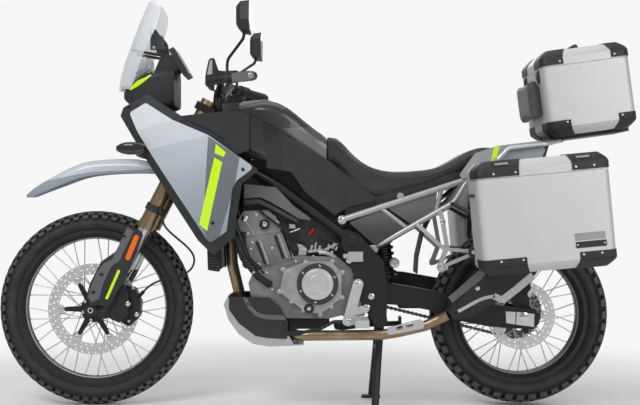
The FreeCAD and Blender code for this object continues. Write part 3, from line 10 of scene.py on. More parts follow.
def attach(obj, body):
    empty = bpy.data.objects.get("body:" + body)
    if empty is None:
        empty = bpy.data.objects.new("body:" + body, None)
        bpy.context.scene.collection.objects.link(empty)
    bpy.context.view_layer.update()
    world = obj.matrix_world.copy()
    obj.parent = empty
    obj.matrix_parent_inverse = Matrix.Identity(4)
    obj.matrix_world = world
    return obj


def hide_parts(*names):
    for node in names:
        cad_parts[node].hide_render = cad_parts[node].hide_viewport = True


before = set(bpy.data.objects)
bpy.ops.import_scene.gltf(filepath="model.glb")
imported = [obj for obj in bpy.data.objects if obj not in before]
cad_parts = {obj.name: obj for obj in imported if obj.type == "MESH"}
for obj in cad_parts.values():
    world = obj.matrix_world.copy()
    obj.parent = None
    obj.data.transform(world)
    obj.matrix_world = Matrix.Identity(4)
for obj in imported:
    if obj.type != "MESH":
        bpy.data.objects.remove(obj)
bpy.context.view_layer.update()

# The camera comes first, and the brake hose, which is the only cord, follows the helpers.
camera_place = (0.0274, -4.2, 0.72)
lens = 66.0
sensor_width = 36.0
image_width = 640.0
image_height = 405.0
camera = bpy.data.objects.new("camera", bpy.data.cameras.new("camera"))
camera.data.lens = lens
camera.data.sensor_width = sensor_width
camera.data.clip_end = 60.0
camera.location = camera_place
camera.rotation_euler = (math.pi / 2, 0, 0)
bpy.context.collection.objects.link(camera)
bpy.context.scene.camera = camera
bpy.context.scene.view_settings.view_transform = "Standard"

front_axle = np.array([-0.770, 0.345])
rear_axle = np.array([0.735, 0.323])
rake = math.radians(27.0)
steer_point = np.array([-0.449, 0.0, 0.840])
steer_axis = np.array([math.sin(rake), 0.0, math.cos(rake)])
mirrored = np.diag([1.0, -1.0, 1.0, 1.0])
to_near = (0, -1, 0)
sides = ((-1, "near"), (1, "far"))


def seen(px, py, depth):
    """Point of the object seen at a pixel of the image, on the plane depth metres nearer than the middle."""
    scale = (camera_place[1] + depth) * -sensor_width / lens / image_width
    x = camera_place[0] + (px - image_width / 2) * scale
    z = camera_place[2] - (py - image_height / 2) * scale
    return np.array([x, -depth, z])


# Shapes

class Shape:
    """Points with four-sided faces, three-sided faces and flat outlines."""

    def __init__(self, points, quads=(), triangles=(), outlines=()):
        self.points = np.asarray(points, float).reshape(-1, 3)
        self.quads = np.asarray(quads, int).reshape(-1, 4)
        self.triangles = np.asarray(triangles, int).reshape(-1, 3)
        self.outlines = [list(outline) for outline in outlines]

    def placed(self, matrices):
        """One copy of the shape for each matrix, all in one shape."""
        matrices = np.asarray(matrices, float).reshape(-1, 4, 4)
        count = len(self.points)
        padded = np.column_stack([self.points, np.ones(count)])
        points = np.einsum("kij,nj->kni", matrices, padded)[:, :, :3]
        steps = np.arange(len(matrices)) * count
        quads = self.quads[None] + steps[:, None, None]
        triangles = self.triangles[None] + steps[:, None, None]
        outlines = [[i + step for i in outline] for step in steps for outline in self.outlines]
        return Shape(points, quads, triangles, outlines)

    def __add__(self, other):
        """Both shapes as one."""
        step = len(self.points)
        return Shape(
            np.vstack([self.points, other.points]),
            np.vstack([self.quads, other.quads + step]),
            np.vstack([self.triangles, other.triangles + step]),
            self.outlines + [[i + step for i in outline] for outline in other.outlines],
        )


nothing = Shape(np.zeros((0, 3)))


def skin(grid, round_u=False, round_v=False, cap_start=False, cap_end=False):
    """Quads between neighbours of a grid of points. Caps close the first and last row with an outline."""
    grid = np.asarray(grid, float)
    rows, columns = grid.shape[:2]
    index = np.arange(rows * columns).reshape(rows, columns)
    if round_u:
        index = np.vstack([index, index[:1]])
    if round_v:
        index = np.hstack([index, index[:, :1]])
    a = index[:-1, :-1]
    b = index[:-1, 1:]
    c = index[1:, 1:]
    d = index[1:, :-1]
    quads = np.stack([a, b, c, d], axis=-1).reshape(-1, 4)
    outlines = []
    if cap_start:
        outlines.append(np.arange(columns)[::-1])
    if cap_end:
        outlines.append(np.arange(columns) + (rows - 1) * columns)
    return Shape(grid.reshape(-1, 3), quads, (), outlines)


def thickened(grid, inward, outward, centre, round_v=False):
    """Surface given a thickness: points moved both ways along the normals, the skins joined at the rim."""
    grid = np.asarray(grid, float)
    along = np.gradient(grid, axis=0)
    if round_v:
        across = np.roll(grid, -1, axis=1) - np.roll(grid, 1, axis=1)
    else:
        across = np.gradient(grid, axis=1)
    normal = np.cross(along, across)
    normal /= np.maximum(np.linalg.norm(normal, axis=2, keepdims=True), 1e-9)
    if (normal * (grid - np.asarray(centre, float))).sum() < 0:
        normal = -normal
    rows, columns = grid.shape[:2]
    points = np.stack([grid - normal * inward, grid + normal * outward])
    index = np.arange(2 * rows * columns).reshape(2, rows, columns)
    if round_v:
        index = np.concatenate([index, index[:, :, :1]], axis=2)
    faces = []
    for layer in index:
        faces.append(np.stack([layer[:-1, :-1], layer[:-1, 1:], layer[1:, 1:], layer[1:, :-1]],
                              -1).reshape(-1, 4))
    rims = [index[:, 0], index[:, -1]]
    if not round_v:
        rims += [index[:, :, 0], index[:, :, -1]]
    for rim in rims:
        faces.append(np.stack([rim[0, :-1], rim[0, 1:], rim[1, 1:], rim[1, :-1]], -1))
    return Shape(points, np.concatenate(faces))


def turned(profile, count):
    """Profile of radius and height carried round the third axis, its first and last rows closed."""
    profile = np.asarray(profile, float)
    angle = np.linspace(0, 2 * math.pi, count, endpoint=False)
    grid = np.stack([
        profile[:, :1] * np.cos(angle),
        profile[:, :1] * np.sin(angle),
        profile[:, 1:] + 0 * angle,
    ], axis=-1)
    return skin(grid, round_v=True, cap_start=True, cap_end=True)


def prism(outline, near, far, chamfer=0.0):
    """Outline in X and Z carried from near to far along Y, with its rim drawn in by the chamfer."""
    outline = np.asarray(outline, float)
    centre = outline.mean(axis=0)
    reach = np.linalg.norm(outline - centre, axis=1, keepdims=True)
    small = centre + (outline - centre) * (1 - chamfer / reach)
    step = math.copysign(chamfer, far - near)
    if chamfer:
        rows = [(small, near), (outline, near + step), (outline, far - step), (small, far)]
    else:
        rows = [(outline, near), (outline, far)]
    grid = np.array([np.column_stack([line[:, 0], np.full(len(line), y), line[:, 1]]) for line, y in rows])
    return skin(grid, round_v=True, cap_start=True, cap_end=True)


def brick(size, chamfer):
    """Block about the origin with its upper and lower rims drawn in by the chamfer."""
    half = np.asarray(size, float) / 2
    corner = np.array([(-1, -1), (1, -1), (1, 1), (-1, 1)], float)
    rows = []
    for z, cut in ((-1, chamfer), (-1, 0), (1, 0), (1, chamfer)):
        lift = z * (half[2] - (chamfer if cut == 0 else 0))
        rows.append(np.column_stack([corner * (half[:2] - cut), np.full(4, lift)]))
    return skin(rows, round_v=True, cap_start=True, cap_end=True)


def curve_through(points, count):
    """Smooth line through the points, a cubic with each slope set by the neighbours."""
    points = np.asarray(points, float)
    before = np.vstack([2 * points[0] - points[1], points, 2 * points[-1] - points[-2]])
    t = np.linspace(0, len(points) - 1, count)
    k = np.minimum(t.astype(int), len(points) - 2)
    f = (t - k)[:, None]
    p0, p1, p2, p3 = before[k], before[k + 1], before[k + 2], before[k + 3]
    return 0.5 * (2 * p1 + (p2 - p0) * f + (2 * p0 - 5 * p1 + 4 * p2 - p3) * f ** 2
                  + (3 * p1 - p0 - 3 * p2 + p3) * f ** 3)


def tube(path, radius, count=10):
    """Ring carried along a path, square to it, its size following the radius given at each point."""
    path = np.asarray(path, float)
    way = np.gradient(path, axis=0)
    way /= np.linalg.norm(way, axis=1, keepdims=True)
    up = np.array([0.0, 1.0, 0.0]) if abs(way[:, 1]).mean() < 0.7 else np.array([0.0, 0.0, 1.0])
    side = np.cross(way, up)
    side /= np.linalg.norm(side, axis=1, keepdims=True)
    up = np.cross(side, way)
    angle = np.linspace(0, 2 * math.pi, count, endpoint=False)[None, :, None]
    radius = np.broadcast_to(np.asarray(radius, float), len(path))[:, None, None]
    grid = path[:, None] + radius * (np.cos(angle) * side[:, None] + np.sin(angle) * up[:, None])
    return skin(grid, round_v=True, cap_start=True, cap_end=True)


def turn_to(axis, point=(0, 0, 0)):
    """Matrix that takes the third axis to the given one and moves the origin to the point."""
    turn = Vector((0, 0, 1)).rotation_difference(Vector(axis)).to_matrix().to_4x4()
    return np.array(Matrix.Translation(Vector(point)) @ turn)


def around(centre, radius, count, y, start=0.0):
    """Matrices on a circle round a wheel, all facing the near side."""
    angle = start + np.arange(count) * 2 * math.pi / count
    return [turn_to(to_near, (centre[0] + radius * math.cos(a), y, centre[1] + radius * math.sin(a)))
            for a in angle]


def piece(name, shape, finish, body, replaced=(), smooth=30.0):
    """Mesh object from a shape, dressed and set on its body."""
    mesh = bpy.data.meshes.new(name)
    faces = shape.quads.tolist() + shape.triangles.tolist() + shape.outlines
    mesh.from_pydata(shape.points.tolist(), [], faces)
    work = bmesh.new()
    work.from_mesh(mesh)
    bmesh.ops.remove_doubles(work, verts=work.verts, dist=1e-6)
    bmesh.ops.recalc_face_normals(work, faces=work.faces)
    work.to_mesh(mesh)
    work.free()
    obj = bpy.data.objects.new(name, mesh)
    bpy.context.collection.objects.link(obj)
    mesh.materials.append(finish)
    mesh.shade_smooth()
    mesh.set_sharp_from_angle(angle=math.radians(smooth))
    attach(obj, body)
    if replaced:
        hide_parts(*replaced)
    return obj


# Finishes

class Number:
    """A number on its way through a material, so that shader maths reads as an expression."""

    def __init__(self, finish, socket):
        self.finish = finish
        self.socket = socket

    def maths(self, operation, *values):
        """One Math node over this number and the others."""
        inputs = {i: value for i, value in enumerate(values)}
        return self.finish.make("ShaderNodeMath", {"operation": operation}, inputs)

    def __add__(self, other):
        return self.maths("ADD", self, other)

    def __radd__(self, other):
        return self.maths("ADD", other, self)

    def __sub__(self, other):
        return self.maths("SUBTRACT", self, other)

    def __rsub__(self, other):
        return self.maths("SUBTRACT", other, self)

    def __mul__(self, other):
        return self.maths("MULTIPLY", self, other)

    def __rmul__(self, other):
        return self.maths("MULTIPLY", other, self)

    def __truediv__(self, other):
        return self.maths("DIVIDE", self, other)

    def __pow__(self, other):
        return self.maths("POWER", self, other)

    def __gt__(self, other):
        return self.maths("GREATER_THAN", self, other)

    def __lt__(self, other):
        return self.maths("LESS_THAN", self, other)

    def __abs__(self):
        return self.maths("ABSOLUTE", self)

    def step(self, low, high):
        """Smooth rise from 0 to 1 between two values."""
        return self.finish.make("ShaderNodeMapRange", {"interpolation_type": "SMOOTHSTEP"},
                                {0: self, 1: low, 2: high, 3: 0.0, 4: 1.0})


class Finish:
    """One material with its shader, built up from nodes."""

    def __init__(self, name, colour, roughness=0.5, metallic=0.0, **constants):
        self.material = bpy.data.materials.new(name)
        self.material.use_nodes = True
        self.nodes = self.material.node_tree.nodes
        self.links = self.material.node_tree.links
        self.shader = self.nodes["Principled BSDF"]
        self.set("Base Color", (*colour, 1.0))
        self.set("Roughness", roughness)
        self.set("Metallic", metallic)
        for key, value in constants.items():
            self.set(key.replace("_", " ").title(), value)
        self.place = self.nodes.new("ShaderNodeTexCoord").outputs["Object"]
        split = self.nodes.new("ShaderNodeSeparateXYZ")
        self.links.new(self.place, split.inputs[0])
        self.x, self.y, self.z = (Number(self, split.outputs[i]) for i in range(3))

    def make(self, kind, settings, inputs, output=0):
        """Node of a kind with its settings and the values or links of its sockets."""
        node = self.nodes.new(kind)
        for key, value in settings.items():
            setattr(node, key, value)
        for key, value in inputs.items():
            socket = node.inputs[key]
            if isinstance(value, Number):
                self.links.new(value.socket, socket)
            elif isinstance(value, bpy.types.NodeSocket):
                self.links.new(value, socket)
            else:
                socket.default_value = value
        return Number(self, node.outputs[output])

    def set(self, key, value):
        """Value or link of one socket of the shader."""
        socket = self.shader.inputs[key]
        if isinstance(value, Number):
            self.links.new(value.socket, socket)
        else:
            socket.default_value = value

    def scaled(self, sizes):
        """Object coordinates stretched by three factors."""
        return self.make("ShaderNodeMapping", {}, {"Vector": self.place, "Scale": sizes}).socket

    def noise(self, scale, detail=3.0, rough=0.5, sizes=None):
        """Soft random pattern from 0 to 1."""
        place = self.scaled(sizes) if sizes else self.place
        return self.make("ShaderNodeTexNoise", {}, {"Vector": place, "Scale": scale, "Detail": detail,
                                                   "Roughness": rough})

    def cells(self, scale, feature="F1"):
        """Distance to scattered points, for grain and cast skin."""
        return self.make("ShaderNodeTexVoronoi", {"feature": feature}, {"Vector": self.place, "Scale": scale})

    def blend(self, factor, first, second):
        """Colour between two others."""
        inputs = {0: factor, 6: first, 7: second}
        inputs = {k: (*v, 1.0) if isinstance(v, tuple) and len(v) == 3 else v for k, v in inputs.items()}
        return self.make("ShaderNodeMix", {"data_type": "RGBA"}, inputs, 2)

    def bump(self, height, strength, depth):
        """Surface relief from a height."""
        relief = self.make("ShaderNodeBump", {}, {"Height": height, "Strength": strength, "Distance": depth})
        self.set("Normal", relief)

    def below(self, first, second):
        """1 on the right of the line from the first X, Z point to the second, else 0."""
        dx = second[0] - first[0]
        dz = second[1] - first[1]
        size = math.hypot(dx, dz)
        side = (self.x - first[0]) * (dz / size) - (self.z - first[1]) * (dx / size)
        return side.step(-0.0004, 0.0004)

    def inside(self, outline):
        """1 inside an outline of X, Z points that turns clockwise, else 0."""
        mask = None
        for first, second in zip(outline, outline[1:] + outline[:1]):
            edge = self.below(first, second)
            mask = edge if mask is None else mask * edge
        return mask


def plain(name, colour, roughness, metallic=0.0, spread=0.25, scale=60.0, relief=0.1, depth=0.0002,
          **constants):
    """Finish whose colour and gloss vary a little, with fine relief."""
    finish = Finish(name, colour, roughness, metallic, **constants)
    broad = finish.noise(scale * 0.12, 4.0)
    fine = finish.noise(scale * 8.0, 2.0)
    dark = tuple(c * (1 - spread) for c in colour)
    light = tuple(min(1.0, c * (1 + spread * 0.6)) for c in colour)
    finish.set("Base Color", finish.blend(broad, dark, light))
    finish.set("Roughness", (broad - 0.5) * 0.2 + roughness)
    finish.bump(fine, relief, depth)
    return finish.material


def brushed(name, colour, roughness, metallic, sizes, streak=0.12, relief=0.06):
    """Metal with fine streaks along one direction."""
    finish = Finish(name, colour, roughness, metallic)
    lines = finish.noise(140.0, 4.0, 0.7, sizes)
    cloud = finish.noise(5.0, 3.0)
    dark = tuple(c * (1 - streak) for c in colour)
    finish.set("Base Color", finish.blend(lines * 0.7 + cloud * 0.3, dark, colour))
    finish.set("Roughness", roughness + (lines - 0.5) * 0.25 + (cloud - 0.5) * 0.15)
    finish.bump(lines, relief, 0.0002)
    return finish.material


def grained(name, colour, roughness=0.55, scale=900.0, relief=0.25, **constants):
    """Moulded plastic with a fine pebbled skin and faint scuffs."""
    finish = Finish(name, colour, roughness, **constants)
    pebble = finish.cells(scale)
    scuff = finish.noise(14.0, 5.0, 0.65)
    light = tuple(c * 1.45 + 0.006 for c in colour)
    finish.set("Base Color", finish.blend(scuff.step(0.45, 0.75), colour, light))
    finish.set("Roughness", roughness + (scuff - 0.5) * 0.25)
    finish.bump(pebble, relief, 0.0003)
    return finish.material


def rubber(name, axle, tip, half, lug):
    """Tyre rubber: worn grey tops on the blocks, painted shade darkening the ground between them, brown dust
    here and there.
    """
    finish = Finish(name, (0.03, 0.029, 0.027), 0.8)
    side, sag = 0.86 * half, 0.19 * half + 0.009
    curve = (side * side + sag * sag) / (2 * sag)
    across = finish.x - axle[0]
    up = finish.z - axle[1]
    out = (across * across + up * up) ** 0.5 - (tip - curve)
    height = (out * out + finish.y * finish.y) ** 0.5 - (curve - lug)
    tread = out.step(curve * 0.45, curve * 0.6)
    top = height.step(lug * 0.72, lug * 0.97) * tread
    # Painted shade: the ground between the tread blocks is painted near black.
    ground = (1 - height.step(0.0015, lug * 0.6)) * tread
    dust = finish.noise(22.0, 6.0, 0.7)
    fine = finish.noise(420.0, 3.0)
    cover = dust.step(0.42, 0.68) * 0.6
    wall = finish.blend(cover, (0.020, 0.0195, 0.019), (0.060, 0.056, 0.050))
    block = finish.blend(top * 0.85, wall.socket, (0.10, 0.093, 0.081))
    finish.set("Base Color", finish.blend(ground * 0.85, block.socket, (0.007, 0.007, 0.007)))
    finish.set("Roughness", 0.72 + cover * 0.2)
    finish.bump(fine + dust * 0.6, 0.35, 0.0006)
    return finish.material


def wheel_finish(name, axle, edge):
    """Black rim outside a radius, bright spokes and hub inside it, and painted highlight lines along the
    rim's lips.
    """
    finish = Finish(name, (0.5, 0.5, 0.5), 0.32, 0.9)
    across = finish.x - axle[0]
    up = finish.z - axle[1]
    radius = (across * across + up * up) ** 0.5
    # Painted highlight: bright lines along the rim's two lips, where the black rim's edges catch the light.
    lip = 0.0
    for place in (edge + 0.0055, edge + 0.040):
        lip = lip + (1 - abs(radius - place).step(0.0012, 0.0026))
    rim = radius.step(edge - 0.0005, edge + 0.0005) * (1 - lip * 0.85)
    grime = finish.noise(40.0, 4.0)
    streak = finish.noise(260.0, 2.0)
    bright = finish.blend(grime, (0.56, 0.56, 0.57), (0.78, 0.78, 0.79))
    black = finish.blend(grime, (0.012, 0.012, 0.013), (0.03, 0.03, 0.032))
    finish.set("Base Color", finish.blend(rim, bright.socket, black.socket))
    finish.set("Metallic", 0.8 - rim * 0.5)
    finish.set("Roughness", 0.25 + grime * 0.2 + rim * 0.1)
    finish.bump(streak, 0.05, 0.0002)
    return finish.material


def panel_finish():
    """Light blue grey panel with painted light: lighter towards the top, with painted highlight bands along
    its upper part, and a slanted yellow stripe on a darker field.
    """
    finish = Finish("panel_paint_with_painted_light", (0.5, 0.56, 0.62), 0.3, Coat_Weight=0.4)
    # Painted light: the panel's colour runs from dark low down to light at the top.
    height = finish.z.step(0.58, 1.05)
    cloud = finish.noise(6.0, 2.0)
    body = finish.blend(height * 0.85 + cloud * 0.15, (0.235, 0.275, 0.325), (0.56, 0.61, 0.66))
    # Painted highlight: lighter bands above two lines across the panel's upper part.
    upper = finish.below((-0.358, 0.9468), (-0.549, 0.9025))
    top = finish.below((-0.4774, 0.998), (-0.5968, 0.9673))
    body = finish.blend(upper * 0.35 + top * 0.3, body.socket, (0.76, 0.79, 0.82))
    field = finish.inside([(-0.352, 0.945), (-0.235, 0.868), (-0.262, 0.78), (-0.290, 0.62),
                           (-0.352, 0.575), (-0.372, 0.63)])
    body = finish.blend(field * 0.8, body.socket, (0.085, 0.095, 0.11))
    stripe = finish.inside([(-0.331, 0.873), (-0.304, 0.857), (-0.358, 0.622), (-0.385, 0.646)])
    tip = finish.inside([(-0.326, 0.919), (-0.292, 0.890), (-0.300, 0.874), (-0.330, 0.888)])
    yellow = (stripe + tip).step(0.3, 0.7)
    finish.set("Base Color", finish.blend(yellow, body.socket, (0.6, 0.95, 0.0)))
    flake = finish.noise(900.0, 1.0)
    finish.set("Roughness", 0.28 + cloud * 0.12)
    finish.bump(flake, 0.04, 0.0001)
    return finish.material


def tank_finish():
    """Dark metallic paint with a fine flake."""
    finish = Finish("tank_paint", (0.05, 0.052, 0.056), 0.34, 0.55, Coat_Weight=0.5)
    flake = finish.cells(2600.0)
    cloud = finish.noise(7.0, 3.0)
    body = finish.blend(flake * 0.6 + cloud * 0.4, (0.022, 0.023, 0.025), (0.07, 0.073, 0.077))
    rear = finish.inside([(-0.100, 0.974), (0.0395, 0.985), (0.070, 0.953), (0.058, 0.867)])
    finish.set("Base Color", finish.blend(rear * 0.6, body.socket, (0.16, 0.165, 0.17)))
    finish.set("Roughness", 0.3 + cloud * 0.14)
    finish.bump(flake, 0.03, 0.0001)
    return finish.material


def case_finish():
    """Brushed sheet with faint dents."""
    finish = Finish("case_sheet", (0.6, 0.605, 0.61), 0.5, 0.45)
    lines = finish.noise(90.0, 4.0, 0.7, (0.25, 1.0, 9.0))
    cloud = finish.noise(3.5, 3.0)
    finish.set("Base Color", finish.blend(lines * 0.55 + cloud * 0.45, (0.5, 0.505, 0.51),
                                          (0.68, 0.685, 0.69)))
    finish.set("Roughness", 0.48 + (lines - 0.5) * 0.18 + cloud * 0.1)
    finish.bump(lines * 0.3 + cloud, 0.08, 0.0006)
    return finish.material


def cast_finish(name, colour, roughness=0.5):
    """Fine sand cast skin with darker clouds."""
    finish = Finish(name, colour, roughness, 0.7)
    grain = finish.cells(520.0)
    cloud = finish.noise(9.0, 5.0, 0.6)
    dark = tuple(c * 0.5 for c in colour)
    finish.set("Base Color", finish.blend(cloud.step(0.25, 0.7), dark, colour))
    finish.set("Roughness", roughness + (cloud - 0.5) * 0.3)
    finish.bump(grain + cloud, 0.3, 0.0004)
    return finish.material


def disc_finish():
    """Ground steel with fine marks."""
    finish = Finish("disc_steel", (0.6, 0.6, 0.61), 0.3, 0.95)
    marks = finish.noise(240.0, 3.0, 0.7)
    finish.set("Base Color", finish.blend(marks, (0.52, 0.52, 0.53), (0.78, 0.78, 0.79)))
    finish.set("Roughness", 0.32 + marks * 0.2)
    finish.bump(marks, 0.05, 0.0002)
    return finish.material


def seat_finish():
    """Matt seat cover with a leather grain."""
    finish = Finish("seat_cover", (0.018, 0.018, 0.019), 0.62, Sheen_Weight=0.25)
    grain = finish.cells(620.0, "DISTANCE_TO_EDGE")
    cloud = finish.noise(12.0, 4.0)
    finish.set("Base Color", finish.blend(cloud, (0.012, 0.012, 0.013), (0.032, 0.032, 0.034)))
    finish.set("Roughness", 0.55 + cloud * 0.2)
    finish.bump(grain, 0.5, 0.0006)
    return finish.material


def heat_finish():
    """Bronze pipe with warmer and bluer bands along its length."""
    finish = Finish("pipe_bronze", (0.3, 0.22, 0.12), 0.3, 0.95)
    band = finish.noise(9.0, 3.0, 0.6, (1.0, 0.2, 0.4))
    fine = finish.noise(160.0, 3.0)
    tint = finish.blend(band.step(0.35, 0.7), (0.36, 0.25, 0.13), (0.46, 0.38, 0.27))
    pipe = finish.blend(fine * 0.35, tint.socket, (0.2, 0.15, 0.09))
    shield = (finish.y < -0.1612) * (finish.x < 0.405)
    finish.set("Base Color", finish.blend(shield, pipe.socket, (0.62, 0.625, 0.63)))
    finish.set("Roughness", 0.24 + fine * 0.18)
    finish.bump(fine, 0.08, 0.0002)
    return finish.material


def tail_finish():
    """Mid grey tail panel with a yellow band across it."""
    finish = Finish("tail_paint", (0.2, 0.215, 0.23), 0.34, Coat_Weight=0.3)
    cloud = finish.noise(9.0, 3.0)
    body = finish.blend(cloud, (0.27, 0.285, 0.30), (0.36, 0.375, 0.39))
    band = finish.inside([(0.630, 0.915), (0.648, 0.915), (0.634, 0.862), (0.617, 0.862)])
    finish.set("Base Color", finish.blend(band, body.socket, (0.6, 0.95, 0.0)))
    finish.set("Roughness", 0.3 + cloud * 0.15)
    finish.bump(finish.noise(700.0, 1.0), 0.05, 0.0001)
    return finish.material


def leg_finish():
    """Bright fork leg above its foot, satin black below, where the foot and the caliper's bracket are."""
    finish = Finish("fork_leg", (0.4, 0.4, 0.4), 0.3, 0.9)
    along = (finish.x - steer_point[0]) * steer_axis[0] + (finish.z - steer_point[2]) * steer_axis[2]
    foot = (along < -0.508) + (finish.x.step(-0.690, -0.688) * (finish.z < 0.475)) > 0.5
    cloud = finish.noise(30.0, 3.0)
    bright = finish.blend(cloud, (0.55, 0.55, 0.56), (0.72, 0.72, 0.73))
    dark = finish.blend(cloud, (0.012, 0.012, 0.013), (0.03, 0.03, 0.031))
    finish.set("Base Color", finish.blend(foot, bright.socket, dark.socket))
    finish.set("Metallic", 0.95 - foot * 0.6)
    finish.set("Roughness", 0.16 + foot * 0.3 + cloud * 0.06)
    finish.bump(finish.noise(500.0, 2.0), 0.1, 0.0002)
    return finish.material


def cover_finish():
    """Cast engine cover with a dark ring round a turned disc, which has fine circular grooves."""
    finish = Finish("cover_cast", (0.5, 0.5, 0.51), 0.4, 0.7)
    across = finish.x - 0.019
    up = finish.z - 0.439
    radius = (across * across + up * up) ** 0.5
    near = finish.y < -0.156
    ring = near * (radius > 0.0545)
    disc = (finish.y < -0.164) * (radius < 0.0545)
    groove = (radius * 2100.0).maths("SINE", radius * 2100.0)
    cloud = finish.noise(14.0, 4.0, 0.6)
    grain = finish.cells(620.0)
    cast = finish.blend(cloud.step(0.25, 0.75), (0.30, 0.30, 0.305), (0.52, 0.52, 0.525))
    dark = finish.blend(ring, cast.socket, (0.06, 0.06, 0.062))
    finish.set("Base Color", finish.blend(disc, dark.socket, (0.62, 0.62, 0.625)))
    finish.set("Roughness", 0.42 - disc * 0.14 + cloud * 0.08)
    finish.bump(grain * (1 - disc) + groove * disc * 0.6, 0.3, 0.0004)
    return finish.material


def subframe_finish():
    """Silver tubes with darker webs between them, the webs painted darker towards the bottom as painted
    shade.
    """
    finish = Finish("subframe_paint_with_painted_shade", (0.4, 0.405, 0.41), 0.36, 0.55)
    wide = abs(finish.y)
    web = wide.step(0.1190, 0.1194) * (1 - wide.step(0.1237, 0.1241))
    cloud = finish.noise(8.0, 4.0)
    tube_paint = finish.blend(cloud, (0.36, 0.365, 0.37), (0.52, 0.525, 0.53))
    # Painted shade: the webs' dark colour is darker low down and lighter towards the top.
    web_dark_with_painted_shade = finish.blend(finish.z.step(0.60, 0.72), (0.05, 0.052, 0.055), (0.15, 0.153, 0.157))
    finish.set("Base Color", finish.blend(web, tube_paint.socket, web_dark_with_painted_shade.socket))
    finish.set("Metallic", 0.55 - web * 0.4)
    finish.set("Roughness", 0.32 + cloud * 0.12)
    finish.bump(finish.noise(600.0, 1.0), 0.06, 0.0001)
    return finish.material


def rack_finish():
    """Silver grab rails beside a dark rack plate."""
    finish = Finish("rack_paint", (0.5, 0.5, 0.5), 0.34, 0.6)
    rail = abs(finish.y).step(0.1065, 0.1075)
    cloud = finish.noise(10.0, 3.0)
    dark = finish.blend(cloud, (0.02, 0.02, 0.021), (0.045, 0.045, 0.047))
    finish.set("Base Color", finish.blend(rail, dark.socket, (0.6, 0.605, 0.61)))
    finish.set("Roughness", 0.3 + cloud * 0.15)
    finish.bump(finish.noise(500.0, 1.0), 0.08, 0.0001)
    return finish.material


def control_finish():
    """Silver brackets and hangers beside a black pedal and lever."""
    finish = Finish("control_paint", (0.5, 0.5, 0.5), 0.36, 0.6)
    lever = 1 - finish.x.step(0.1045, 0.1055)
    cloud = finish.noise(20.0, 3.0)
    silver = finish.blend(cloud, (0.50, 0.505, 0.51), (0.66, 0.665, 0.67))
    finish.set("Base Color", finish.blend(lever, silver.socket, (0.03, 0.03, 0.031)))
    finish.set("Roughness", 0.34 + cloud * 0.12)
    finish.bump(finish.noise(500.0, 1.0), 0.08, 0.0001)
    return finish.material


def fender_finish():
    """Light blue grey fender, its side below a crease painted darker as painted shade."""
    finish = Finish("fender_paint_with_painted_shade", (0.5, 0.56, 0.62), 0.3, Coat_Weight=0.4)
    # Painted shade: the fender's side below the crease is painted darker than its top.
    crease = finish.below((-0.781, 0.8277), (-0.8904, 0.8065)) * (finish.x < -0.781) \
        + finish.below((-0.576, 0.838), (-0.781, 0.8277)) * (finish.x > -0.781)
    cloud = finish.noise(6.0, 2.0)
    low = finish.blend(cloud, (0.26, 0.30, 0.35), (0.34, 0.38, 0.43))
    finish.set("Base Color", finish.blend(crease.step(0.2, 0.8) * 0.8, low.socket, (0.62, 0.66, 0.70)))
    finish.set("Roughness", 0.28 + cloud * 0.12)
    finish.bump(finish.noise(900.0, 1.0), 0.04, 0.0001)
    return finish.material


def radiator_finish():
    """Black core with fine upright fins and cross tubes."""
    finish = Finish("radiator_core", (0.02, 0.02, 0.021), 0.5, 0.5)
    fins = (finish.y * 2400.0).maths("SINE", finish.y * 2400.0)
    rows = (finish.z * 620.0).maths("SINE", finish.z * 620.0)
    cloud = finish.noise(30.0, 3.0)
    finish.set("Base Color", finish.blend(rows.step(0.0, 0.9) * 0.6, (0.012, 0.012, 0.013),
                                          (0.06, 0.06, 0.062)))
    finish.set("Roughness", 0.45 + cloud * 0.15)
    finish.bump(fins * 0.5 + rows, 0.5, 0.0006)
    return finish.material


def screen_finish():
    """Clear screen, thin and partly see-through, with a whitish colour painted in for its reflections."""
    finish = Finish("screen_sheet", (0.82, 0.86, 0.9), 0.16, Transmission_Weight=0.0)
    # Painted reflection: the whitish base colour stands in for the light the clear screen reflects.
    reflection_cloud = finish.noise(8.0, 3.0)
    finish.set("Base Color", finish.blend(reflection_cloud, (0.8, 0.83, 0.86), (0.86, 0.89, 0.92)))
    finish.set("Alpha", 0.4 + reflection_cloud * 0.05)
    finish.set("Roughness", 0.15 + reflection_cloud * 0.04)
    finish.material.surface_render_method = "BLENDED"
    return finish.material


def lens_finish(name, colour, alpha):
    """Moulded lamp lens with fine ribs."""
    finish = Finish(name, colour, 0.1, Coat_Weight=0.6)
    ribs = finish.noise(300.0, 1.0, 0.5, (1.0, 1.0, 4.0))
    finish.set("Base Color", finish.blend(ribs, tuple(c * 0.8 for c in colour), colour))
    finish.set("Alpha", alpha + (ribs - 0.5) * 0.1)
    finish.bump(ribs, 0.2, 0.0004)
    return finish.material


# Axle, outer radius, half width and height of the tread blocks
front_sizes = (front_axle, 0.3447, 0.045, 0.010)
rear_sizes = (rear_axle, 0.317, 0.070, 0.011)

